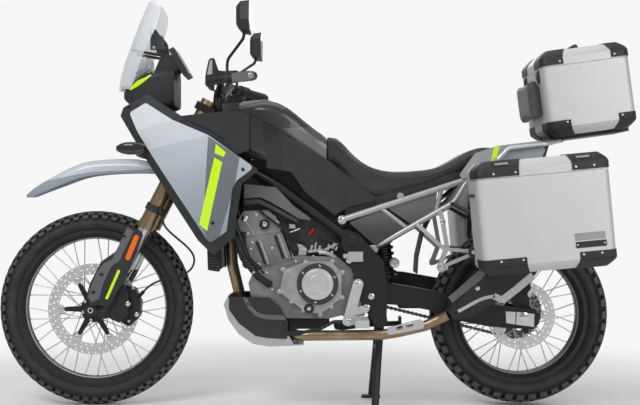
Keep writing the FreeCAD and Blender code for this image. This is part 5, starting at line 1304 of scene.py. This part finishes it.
# Mirrors, display and tail lamp
for side, word in sides:
    outline = np.array([(-75, -50), (60, -50), (78, -20), (70, 42), (-50, 50), (-78, 25)]) / 1000 * 0.9
    rows = [np.column_stack([np.full(6, x), side * (0.376 + outline[:, 0] * k), 1.326 + outline[:, 1] * k])
            for x, k in ((-0.2004, 1.0), (-0.1992, 1.0), (-0.1988, 0.97))]
    piece("mirror_glass_" + word, skin(rows, round_v=True, cap_start=True, cap_end=True), finishes["mirror"],
          "steering")
tilt = math.radians(30)
display_way = (math.cos(tilt), 0, math.sin(tilt))
glass = brick((0.092, 0.158, 0.0016), 0.0005).placed([turn_to(display_way,
                                                              (-0.470 + 0.0102 * display_way[0], 0,
                                                                          1.216 + 0.0102 * display_way[2]))])
piece("display_face", glass, finishes["display"], "chassis")
tail_glass = prism([(0.8842, 0.848), (0.8878, 0.850), (0.8862, 0.882), (0.8826, 0.884)], -0.050, 0.050, 0.001)
piece("tail_lens", tail_glass, finishes["red"], "chassis")


# Small parts placed by their sight from the camera

def traced(depth, *pixels):
    """X, Z points of an outline seen from the camera on the plane depth metres nearer than the middle."""
    return np.array([seen(px, py, depth)[[0, 2]] for px, py in pixels])


def struck(*pixels):
    """First points of the machine on the lines of sight through image pixels, and the normals there."""
    if "all" not in trees:
        points = []
        faces = []
        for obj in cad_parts.values():
            start = len(points)
            points.extend(tuple(v.co) for v in obj.data.vertices)
            faces.extend(tuple(start + i for i in p.vertices) for p in obj.data.polygons)
        trees["all"] = BVHTree.FromPolygons(points, faces)
    eye = Vector(camera_place)
    found = []
    for px, py in pixels:
        way = (Vector(seen(px, py, 0.3)) - eye).normalized()
        place, normal = trees["all"].ray_cast(eye, way)[:2]
        if place is None:
            raise ValueError("nothing seen at " + str((px, py)))
        found.append((np.array(place), np.array(normal)))
    return found


def studs(template, *pixels):
    """Copies of a small head where pixels of the image meet the machine, facing sideways."""
    return template.placed([turn_to(to_near, place) for place, _ in struck(*pixels)])


def laid(radius, *pixels):
    """Thin tube laid on the machine along a line of pixels."""
    line = curve_through(pixels, 8 * len(pixels))
    return tube([place + normal * radius * 0.3 for place, normal in struck(*line)], radius, 6)


def seen_tube(radius, corners, steps, *places):
    """Round tube on a smooth line through places given by their pixel and depth."""
    return tube(curve_through([seen(*place) for place in places], steps), radius, corners)


def both_sides(shape):
    """The shape and its mirror image across the middle plane."""
    return shape + shape.placed([mirrored])


# Engine bay: inner covers, tank underside, painted highlights on the cylinder ribs and painted shade beside
# them, hoses and fittings
bay = prism(traced(0.07, (244, 160), (272, 160), (300, 176), (346, 206), (357, 226), (373, 240), (373, 249),
                   (356, 252), (354, 264), (338, 264), (294, 258), (284, 236), (262, 212),
                   (243, 212)), -0.074, -0.068,
            0.001)
sump = prism(traced(0.085, (287, 300), (300, 303), (312, 313), (329, 317), (330, 323), (318, 329),
                    (289, 329)), -0.085,
             -0.079, 0.001)
tray = prism(traced(0.11, (345, 203), (378, 196), (400, 189), (445, 175), (462, 171), (462, 181),
                    (445, 187), (400, 201), (378, 207), (345, 216)), -0.112, -0.106, 0.001)
piece("inner_covers", both_sides(bay + tray + sump), finishes["plastic"], "chassis")
under = prism(traced(0.121, (244, 184), (276, 187), (294, 206), (310.5, 218), (310, 220.5), (298.5, 218.5),
                     (288.5, 212.2), (268, 200.7), (260, 197), (244, 198.4)), -0.1245, -0.1185, 0.0015)
lip = prism(traced(0.118, (244, 200), (259, 199), (268, 203), (288, 214.5), (298, 220), (297, 222.5),
                   (287, 217.5), (266, 206.5), (258, 203.5), (244, 205)), -0.1185, -0.112, 0.001)
piece("tank_under_covers", both_sides(under), finishes["trim"], "chassis")
piece("tank_under_lips", both_sides(lip), finishes["guard"], "chassis")
# Painted highlight: bright bars laid on the cylinder's ribs, on both sides.
ribs = ribbon(traced(0.098, (260.3, 241), (264.6, 252.5), (268.8, 264)), 0.0075, -0.0995, -0.094, 0.001) \
    + ribbon(traced(0.098, (279, 234.5), (283, 246), (287.6, 258)), 0.0075, -0.0995, -0.094, 0.001) \
    + ribbon(traced(0.098, (245.5, 221), (250, 228), (254.5, 235.5)), 0.006, -0.1005, -0.094, 0.001)
piece("cylinder_rib_highlights", both_sides(ribs), finishes["bare"], "chassis")
# Painted shade: black bars beside the ribs, where the shade falls.
dark = ribbon(traced(0.0955, (256.5, 241.5), (261, 253), (265, 264)), 0.009, -0.0958, -0.090, 0.0008) \
    + ribbon(traced(0.0955, (275, 235.5), (279, 247), (283.4, 258.5)), 0.009, -0.0958, -0.090, 0.0008)
piece("cylinder_groove_painted_shade", both_sides(dark), finishes["black_metal"], "chassis")
hose_a = seen_tube(0.0042, 10, 36, (258, 209, 0.10), (264.8, 215.2, 0.107), (276, 223.5, 0.108),
                   (288.5, 232.8, 0.106), (298.5, 240, 0.095), (305, 243, 0.088))
hose_b = seen_tube(0.0085, 12, 30, (243, 232, 0.10), (244, 246, 0.103), (248, 258, 0.104),
                   (256, 266, 0.106), (264, 273, 0.108))
hose_c = seen_tube(0.0035, 10, 30, (318, 236, 0.09), (326, 240, 0.097), (338, 243, 0.10), (345, 250, 0.105),
                   (346, 262, 0.11))
hose_d = seen_tube(0.0032, 10, 24, (296, 256, 0.09), (292, 248, 0.097), (289.5, 240, 0.098),
                   (289, 233, 0.097))
piece("engine_hoses", hose_a + hose_b + hose_c + hose_d, finishes["rubber"], "chassis")
elbow = seen_tube(0.0088, 14, 30, (319, 252.5, 0.092), (326, 253, 0.096), (333, 256, 0.098),
                  (338.5, 262, 0.10), (337, 269, 0.10))
plate = prism(traced(0.088, (297, 243.5), (302, 244.5), (307.5, 249), (306, 255.5), (298, 255.5),
                     (299, 250)), -0.0905,
              -0.080, 0.001)
sensor = prism(traced(0.10, (289, 223.8), (295.2, 224.2), (296, 228.4), (289, 228.8)), -0.103, -0.085, 0.002)
rod = tube([seen(289.3, 232.8, 0.10), seen(294, 231, 0.10), seen(300, 228.6, 0.10)], 0.0032, 10)
stems = nothing
for px, py, long, size in ((311, 248, 6.0, 0.0050), (315, 246, 7.5, 0.0042), (319, 248, 5.0, 0.0056),
                           (328, 247, 6.0, 0.0046), (333, 245.5, 7.0, 0.0040), (336, 248.5, 4.0, 0.0050)):
    stems = stems + tube([seen(px, py + long / 2, 0.094), seen(px + 0.4, py, 0.095),
                          seen(px + 1.2, py - long / 2, 0.096)],
                         size, 12)
bars = capsule(*traced(0.095, (309, 251.5), (322, 250)), 0.010, -0.0985, -0.086) \
    + capsule(*traced(0.095, (325, 249.5), (337, 243.8)), 0.008, -0.0985, -0.088) \
    + capsule(*traced(0.095, (311.5, 258.6), (320.5, 258.2)), 0.007, -0.0985, -0.088)
piece("engine_fittings", elbow + plate + sensor + rod + stems + bars, finishes["bare"], "chassis",
      (), 40)
small = screw_head(0.0052, 0.004)
spots = [seen(304.2, 250.4, 0.0905), seen(313.8, 256.6, 0.098), seen(332, 252.4, 0.104),
         seen(296, 261.6, 0.117)]
loose = small.placed([turn_to(to_near, spot) for spot in spots])
loose = loose + studs(small, (259, 264.3), (253.5, 272.5), (266.5, 273), (272, 289.1), (250.5, 249))
module = prism(traced(0.142, (348.2, 251.8), (363, 251.6), (363.2, 261.6), (348.4, 261.9)), -0.1485, -0.138,
               0.0012) \
    + prism(traced(0.142, (343.2, 254), (348.6, 253.6), (348.8, 258.2), (343.4, 258.2)), -0.146, -0.138,
            0.001)
piece("engine_studs", loose, finishes["chrome"], "chassis")
piece("control_module", module, finishes["line"], "chassis")
plug = tube([seen(308.8, 235, 0.085), seen(311.3, 231.6, 0.086), seen(313.8, 228.3, 0.087)], 0.0050, 10)
piece("red_plug", plug, finishes["red"], "chassis")

# Bushes, caps and larger bolts
cap = turned([(0.0165, -0.004), (0.0165, 0.005), (0.0145, 0.008), (0.009, 0.0085), (0.0085, 0.006)], 28)
ring = turned([(0.0150, -0.003), (0.0150, 0.0035), (0.0135, 0.005), (0.0095, 0.005), (0.009, 0.001)], 28)
big = hex_head(0.0078, 0.006)
reservoir = cap + turned([(0.0175, -0.060), (0.0175, -0.006)], 28)
frame_caps = reservoir.placed([turn_to(to_near, (0.289, -0.085, 0.508))]) + studs(ring, (441.5, 268.0),
                                                                                     (373.8, 249.5)) \
    + studs(big, (340.8, 219.5), (442.7, 221.9), (441.5, 268.0), (358, 284), (348.5, 321.5), (367, 307.5))
piece("frame_caps", frame_caps, finishes["chrome"], "chassis")
dark_ring = turned([(0.0175, -0.003), (0.0175, 0.004), (0.0155, 0.006), (0.0105, 0.006), (0.010, 0.001)], 28)
dark_caps = studs(dark_ring, (352, 241), (473.5, 252.3), (309, 308.7), (264.5, 224.5))
piece("dark_bushes", dark_caps, finishes["gloss_plastic"], "chassis")
piece("bush_bolts", studs(hex_head(0.0070, 0.0075), (309, 308.7), (473.5, 252.3), (293, 341.5)),
      finishes["chrome"],
      "chassis")
piece("skid_screws", studs(screw_head(0.0075, 0.0025), (248.8, 303.8), (280.7, 324.9)),
      finishes["gloss_plastic"],
      "chassis")
# Painted highlight: a grey strip on the skid's black side, where its upper edge catches the light.
depth = -struck((265, 312))[0][0][1]
crease = prism(traced(depth, (242.5, 297), (247, 298), (251, 306), (257.5, 312.5), (264, 314.5),
                      (284, 315.5), (286, 320), (266, 319.5), (256, 316.5),
                      (248, 308)), -depth - 0.0016, -depth + 0.003, 0.0008)
piece("skid_crease_highlight", crease, finishes["trim"], "chassis")
depth = -struck((410, 283))[0][0][1]
guard = prism(traced(depth, (374, 275), (381, 270), (403, 271.5), (437, 277.5), (452, 281), (446, 288),
                     (435, 295), (420, 296.5), (396, 292), (383, 288.5),
                     (375, 285)), -depth - 0.004, -depth + 0.002,
              0.002) \
    + capsule(*traced(depth + 0.004, (382, 273), (446, 284)), 0.006, -depth - 0.0065, -depth - 0.001, 0.0015)
piece("swingarm_guard", guard, finishes["guard"], "chassis")

# Fork: painted highlight along the front of the guard, its holes, caliper bolts and hose fitting
# Painted highlight: a grey strip along the front edge of the black guard.
front = prism(traced(0.139, (127.6, 226.8), (133.6, 231.0), (119.5, 261), (111.5, 266), (103.5, 283),
                     (99, 299), (91.5, 302.5), (88, 297.5), (90.5, 287), (96.5, 272.5), (104, 263),
                     (112.3, 259), (114.5, 254)),
              -0.1392, -0.136, 0.001)
piece("fork_guard_front_highlight", both_sides(front), finishes["trim"], "steering")
holes = turned([(0.0072, -0.002), (0.0072, 0.0012), (0.0060, 0.0018), (0.0035, 0.0018), (0.003, 0.0006)], 20)
places = [(*traced(0.139, spot)[0],) for spot in ((101.5, 274.5), (93.3, 292.3), (124, 236))]
shape = holes.placed([turn_to(to_near, (x, -0.1392, z)) for x, z in places])
piece("fork_guard_holes", both_sides(shape), finishes["gloss_plastic"], "steering")
piece("caliper_bolts", studs(hex_head(0.0065, 0.005), (136.8, 314.5), (128, 304)) + studs(small, (133, 288),
                                                                                          (129, 321)),
      finishes["chrome"], "steering")

# Nose: painted highlights along the lens edges, yellow accent, screen clips and stays
# Painted highlight: thin light grey lines laid along the lamp's lens edges.
lens_lines = laid(0.0016, (150, 58.3), (146, 66.5), (135.5, 73.5)) + laid(0.0016, (146.2, 67),
                                                                          (150.5, 70.5), (154.5, 73.5))
piece("lamp_edge_highlights", both_sides(lens_lines), finishes["line"], "chassis")
high = np.array([(129.5, 90.0), (133.5, 84.8), (138, 80.8), (145, 77.8), (151, 74.6)])
low = np.array([(131.5, 90.0), (138, 86.4), (143.5, 82.2), (148, 78.6), (151.5, 75.6)])
lines = [[place + normal * 0.0015 for place, normal in struck(*(high + (low - high) * part))]
         for part in (0.0, 0.25, 0.5, 0.75, 1.0)]
strip = thickened(np.stack(lines, axis=1), 0.0012, 0.0006, (-0.45, 0.0, 1.1))
piece("nose_accent", both_sides(strip), finishes["yellow"], "chassis")
stay = prism(traced(0.075, (150.5, 30), (156, 29.5), (162.5, 39), (164.5, 50), (150.5, 50)), -0.078, -0.072,
             0.001)
piece("screen_stays", both_sides(stay), finishes["guard"], "chassis")
knobs = screw_head(0.0058, 0.005).placed([turn_to(to_near, seen(px, py, 0.078)) for px, py in
                                          ((152.6, 32), (153.9, 47.5))])
piece("stay_bolts", both_sides(knobs), finishes["chrome"], "chassis")

# Bars: guard tip, clamp box and its screw
tip_depth = -struck((212, 68))[0][0][1]
wedge = prism(traced(tip_depth, (207, 75), (210, 60.5), (213, 59.5), (214.5, 74)), -tip_depth - 0.0015,
              -tip_depth + 0.004, 0.0008)
piece("guard_tips", both_sides(wedge), finishes["bare"], "steering")
end_depth = -struck((250, 75.8))[0][0][1]
box = prism(traced(end_depth, (231, 73.2), (248.5, 70.6), (254, 72.4), (255, 78.4), (247.6, 81.2),
                   (232, 82.4)),
            -end_depth - 0.004, -end_depth + 0.010, 0.002)
piece("bar_clamps", both_sides(box), finishes["trim"], "steering")
face = screw_head(0.0095, 0.004).placed([turn_to(to_near, seen(250.5, 75.6, end_depth + 0.0035))])
piece("bar_screws", both_sides(face), finishes["chrome"], "steering")

# Tank: neck cover, light trim beside the cap, seams
neck = prism(traced(0.144, (222.5, 103.6), (239, 102.6), (239, 114), (222.5, 114)), -0.147, -0.141, 0.001)
piece("tank_neck", both_sides(neck), finishes["guard"], "chassis")
trim = prism(traced(0.128, (229, 108.5), (243, 101.6), (266, 99.6), (276, 104), (262, 104.6), (250, 106.8),
                    (243, 110.5), (229, 111.5)), -0.1345, -0.122, 0.0015)
piece("tank_trims", both_sides(trim), finishes["silver"], "chassis")
seams = laid(0.0014, (245.5, 112.5), (252, 114.5), (264, 122), (280, 131), (296, 140)) \
    + laid(0.0014, (180, 120.5), (195, 124), (212, 131.5), (226, 141))
piece("tank_seams", both_sides(seams), finishes["gloss_plastic"], "chassis")


# Chain links on the far side

def link_places(first, r0, second, r1, pitch):
    """Points of pins a pitch apart round two sprockets, by arc length along arcs and straight runs."""
    first = np.asarray(first)
    run = np.asarray(second) - first
    length = np.linalg.norm(run)
    base = math.atan2(run[1], run[0])
    lean = math.acos((r0 - r1) / length)
    line = []
    for centre, radius, start, end in ((first, r0, base + 2 * math.pi - lean, base + lean),
                                       (np.asarray(second), r1, base + lean, base - lean)):
        turn = np.linspace(start, end, 60)
        line.append(centre + radius * np.column_stack([np.cos(turn), np.sin(turn)]))
    line = np.vstack(line + [line[0][:1]])
    size = np.concatenate([[0.0], np.cumsum(np.linalg.norm(np.diff(line, axis=0), axis=1))])
    count = 2 * round(size[-1] / pitch / 2)
    at = np.arange(count) * size[-1] / count
    return np.column_stack([np.interp(at, size, line[:, 0]), np.interp(at, size, line[:, 1])])


chain_y = 0.084
chain_pitch = 0.015875
front_sprocket = (0.158, 0.400)
tooth_count = 13
pins = link_places(front_sprocket, 0.033, rear_axle, 0.095, chain_pitch)
chain = nothing
waist = np.array([(-0.0079, -0.0062), (-0.0040, -0.0054), (0.0, -0.0034), (0.0040, -0.0054),
                  (0.0079, -0.0062), (0.0123, -0.0044), (0.0141, 0.0), (0.0123, 0.0044), (0.0079, 0.0062),
                  (0.0040, 0.0054), (0.0, 0.0034), (-0.0040, 0.0054), (-0.0079, 0.0062), (-0.0123, 0.0044),
                  (-0.0141, 0.0), (-0.0123, -0.0044)])
for parity, inner_y, outer_y in ((0, 0.0038, 0.0054), (1, 0.0056, 0.0072)):
    start = pins[parity::2]
    end = np.roll(pins, -1, axis=0)[parity::2]
    way = end - start
    angle = np.arctan2(way[:, 1], way[:, 0])
    middle = (start + end) / 2
    matrices = [np.array(Matrix.Translation((m[0], chain_y, m[1])) @ Matrix.Rotation(-a, 4, "Y")) for m,
                a in zip(middle, angle)]
    plates = prism(waist, inner_y, outer_y) + prism(waist, -inner_y, -outer_y)
    chain = chain + plates.placed(matrices)
roller = turned([(0.0040, -0.0040), (0.0040, 0.0040)], 12) + turned([(0.0024, -0.0078), (0.0024, 0.0078)], 8)
chain = chain + roller.placed([turn_to((0, 1, 0), (x, chain_y, z)) for x, z in pins])
tooth = np.linspace(0, 2 * math.pi, tooth_count * 10, endpoint=False)
size = 0.0315 + 0.0032 * np.cos(tooth_count * tooth)
rim = np.column_stack([front_sprocket[0] + size * np.cos(tooth), front_sprocket[1] + size * np.sin(tooth)])
drive = prism(rim, 0.081, 0.087, 0.0006)
piece("chain_links", chain + drive, finishes["chain"], "chassis", ["drive_chain"], 30)


# Cushions

cloth_pressure = 4.0
cloth_frames = 20


def swell(name, node, finish, voxel, cap):
    """Cushion from a node's mesh: remeshed, then swollen as cloth under pressure and held near its
    start."""
    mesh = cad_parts[node].data.copy()
    work = bmesh.new()
    work.from_mesh(mesh)
    bmesh.ops.remove_doubles(work, verts=work.verts, dist=1e-5)
    work.to_mesh(mesh)
    work.free()
    mesh.materials.clear()
    mesh.materials.append(finish)
    obj = bpy.data.objects.new(name, mesh)
    bpy.context.collection.objects.link(obj)
    remesh = obj.modifiers.new("skin", "REMESH")
    remesh.mode = "VOXEL"
    remesh.voxel_size = voxel
    remesh.use_smooth_shade = True
    dressed = bpy.data.meshes.new_from_object(obj.evaluated_get(bpy.context.evaluated_depsgraph_get()))
    obj.modifiers.clear()
    obj.data = dressed
    count = len(dressed.vertices)
    start = np.empty(count * 3)
    dressed.vertices.foreach_get("co", start)
    start = start.reshape(-1, 3)
    normal = np.empty(count * 3)
    dressed.vertices.foreach_get("normal", normal)
    shrunk = start - normal.reshape(-1, 3) * cap * 0.6
    dressed.vertices.foreach_set("co", shrunk.ravel())
    cloth = obj.modifiers.new("cloth", "CLOTH")
    cloth.settings.use_pressure = True
    cloth.settings.uniform_pressure_force = cloth_pressure
    cloth.settings.effector_weights.gravity = 0.0
    cloth.settings.quality = 4
    for number in range(1, cloth_frames + 1):
        bpy.context.scene.frame_set(number)
    puffed = bpy.data.meshes.new_from_object(obj.evaluated_get(bpy.context.evaluated_depsgraph_get()))
    obj.modifiers.clear()
    bpy.context.scene.frame_set(1)
    moved = np.empty(count * 3)
    puffed.vertices.foreach_get("co", moved)
    shift = moved.reshape(-1, 3) - shrunk
    size = np.linalg.norm(shift, axis=1, keepdims=True)
    shift *= np.minimum(1.0, cap / np.maximum(size, 1e-9))
    dressed.vertices.foreach_set("co", (shrunk + shift).ravel())
    dressed.update()
    dressed.materials.clear()
    dressed.materials.append(finish)
    dressed.shade_smooth()
    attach(obj, "chassis")
    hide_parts(node)
    return obj


def seam(name, obj, route, radius, side):
    """Sewn line laid on a cushion: points of the route dropped on it from one side, then a thin tube."""
    mesh = obj.data
    points = np.empty(len(mesh.vertices) * 3)
    mesh.vertices.foreach_get("co", points)
    tree = BVHTree.FromPolygons(points.reshape(-1, 3).tolist(), [tuple(p.vertices) for p in mesh.polygons])
    line = []
    for x, z in curve_through(route, 60):
        place, normal = tree.ray_cast(Vector((x, side * 1.0, z)), Vector((0, -side, 0)))[:2]
        if place is not None:
            line.append(np.array(place + normal * radius * 0.2))
    piece(name, tube(line, radius, 8), finishes["seat_seam"], "chassis")


seat = swell("seat_cushion", "seat", finishes["seat"], 0.006, 0.006)
for side, word in sides:
    seam("seat_seam_" + word, seat, [(0.075, 0.925), (0.140, 0.868), (0.232, 0.810), (0.310, 0.803),
                                     (0.408, 0.814), (0.483, 0.842), (0.549, 0.878), (0.609, 0.894),
                                     (0.720, 0.905)], 0.0022,
         side)
swell("backrest_cushion", "backrest_pad", finishes["pad"], 0.005, 0.006)


# Studio

def area_light(name, place, aim, size, power):
    """Soft rectangular lamp aimed at a point."""
    light = bpy.data.lights.new(name, "AREA")
    light.shape = "RECTANGLE"
    light.size, light.size_y = size
    light.energy = power
    obj = bpy.data.objects.new(name, light)
    obj.location = place
    obj.rotation_euler = (Vector(aim) - Vector(place)).to_track_quat("-Z", "Y").to_euler()
    bpy.context.collection.objects.link(obj)


area_light("key", (-1.8, -3.2, 3.6), (0, 0, 0.6), (2.4, 1.6), 92)
area_light("fill", (2.8, -3.4, 2.2), (0.2, 0, 0.6), (2.6, 2.0), 56)
area_light("top", (0.0, 0.4, 4.2), (0, 0, 0.5), (3.4, 2.2), 34)
area_light("rim", (1.0, 3.4, 2.6), (0, 0, 0.7), (3.0, 1.6), 54)

floor = bpy.data.objects.new("floor", bpy.data.meshes.new("floor"))
floor.data.from_pydata([(-9, -9, 0), (9, -9, 0), (9, 9, 0), (-9, 9, 0)], [], [(0, 1, 2, 3)])
floor_finish = Finish("floor_paint", (0.8, 0.8, 0.8), 0.85)
grain = floor_finish.noise(30.0, 3.0)
floor_finish.set("Base Color", floor_finish.blend(grain, (0.78, 0.78, 0.785), (0.82, 0.82, 0.825)))
glow = floor_finish.nodes.new("ShaderNodeEmission")
glow.inputs["Color"].default_value = (0.93, 0.93, 0.935, 1.0)
direct = Number(floor_finish, floor_finish.nodes.new("ShaderNodeLightPath").outputs["Is Camera Ray"])
reach = (floor_finish.x * floor_finish.x + floor_finish.y * floor_finish.y) ** 0.5
fade = floor_finish.nodes.new("ShaderNodeMixShader")
floor_finish.links.new((reach.step(1.25, 2.4) * direct).socket, fade.inputs[0])
floor_finish.links.new(floor_finish.shader.outputs[0], fade.inputs[1])
floor_finish.links.new(glow.outputs[0], fade.inputs[2])
floor_finish.links.new(fade.outputs[0], floor_finish.nodes["Material Output"].inputs["Surface"])
floor.data.materials.append(floor_finish.material)
bpy.context.collection.objects.link(floor)

world = bpy.data.worlds.new("studio")
bpy.context.scene.world = world
world.use_nodes = True
sky = world.node_tree.nodes["Background"]
sky.inputs["Color"].default_value = (0.86, 0.87, 0.88, 1.0)
sky.inputs["Strength"].default_value = 0.42
ray = world.node_tree.nodes.new("ShaderNodeLightPath")
view = world.node_tree.nodes.new("ShaderNodeBackground")
view.inputs["Color"].default_value = (0.93, 0.93, 0.935, 1.0)
either = world.node_tree.nodes.new("ShaderNodeMath")
either.operation = "MAXIMUM"
pick = world.node_tree.nodes.new("ShaderNodeMixShader")
world.node_tree.links.new(ray.outputs["Is Camera Ray"], either.inputs[0])
world.node_tree.links.new(ray.outputs["Is Transmission Ray"], either.inputs[1])
world.node_tree.links.new(either.outputs[0], pick.inputs[0])
world.node_tree.links.new(sky.outputs[0], pick.inputs[1])
world.node_tree.links.new(view.outputs[0], pick.inputs[2])
world.node_tree.links.new(pick.outputs[0], world.node_tree.nodes["World Output"].inputs["Surface"])
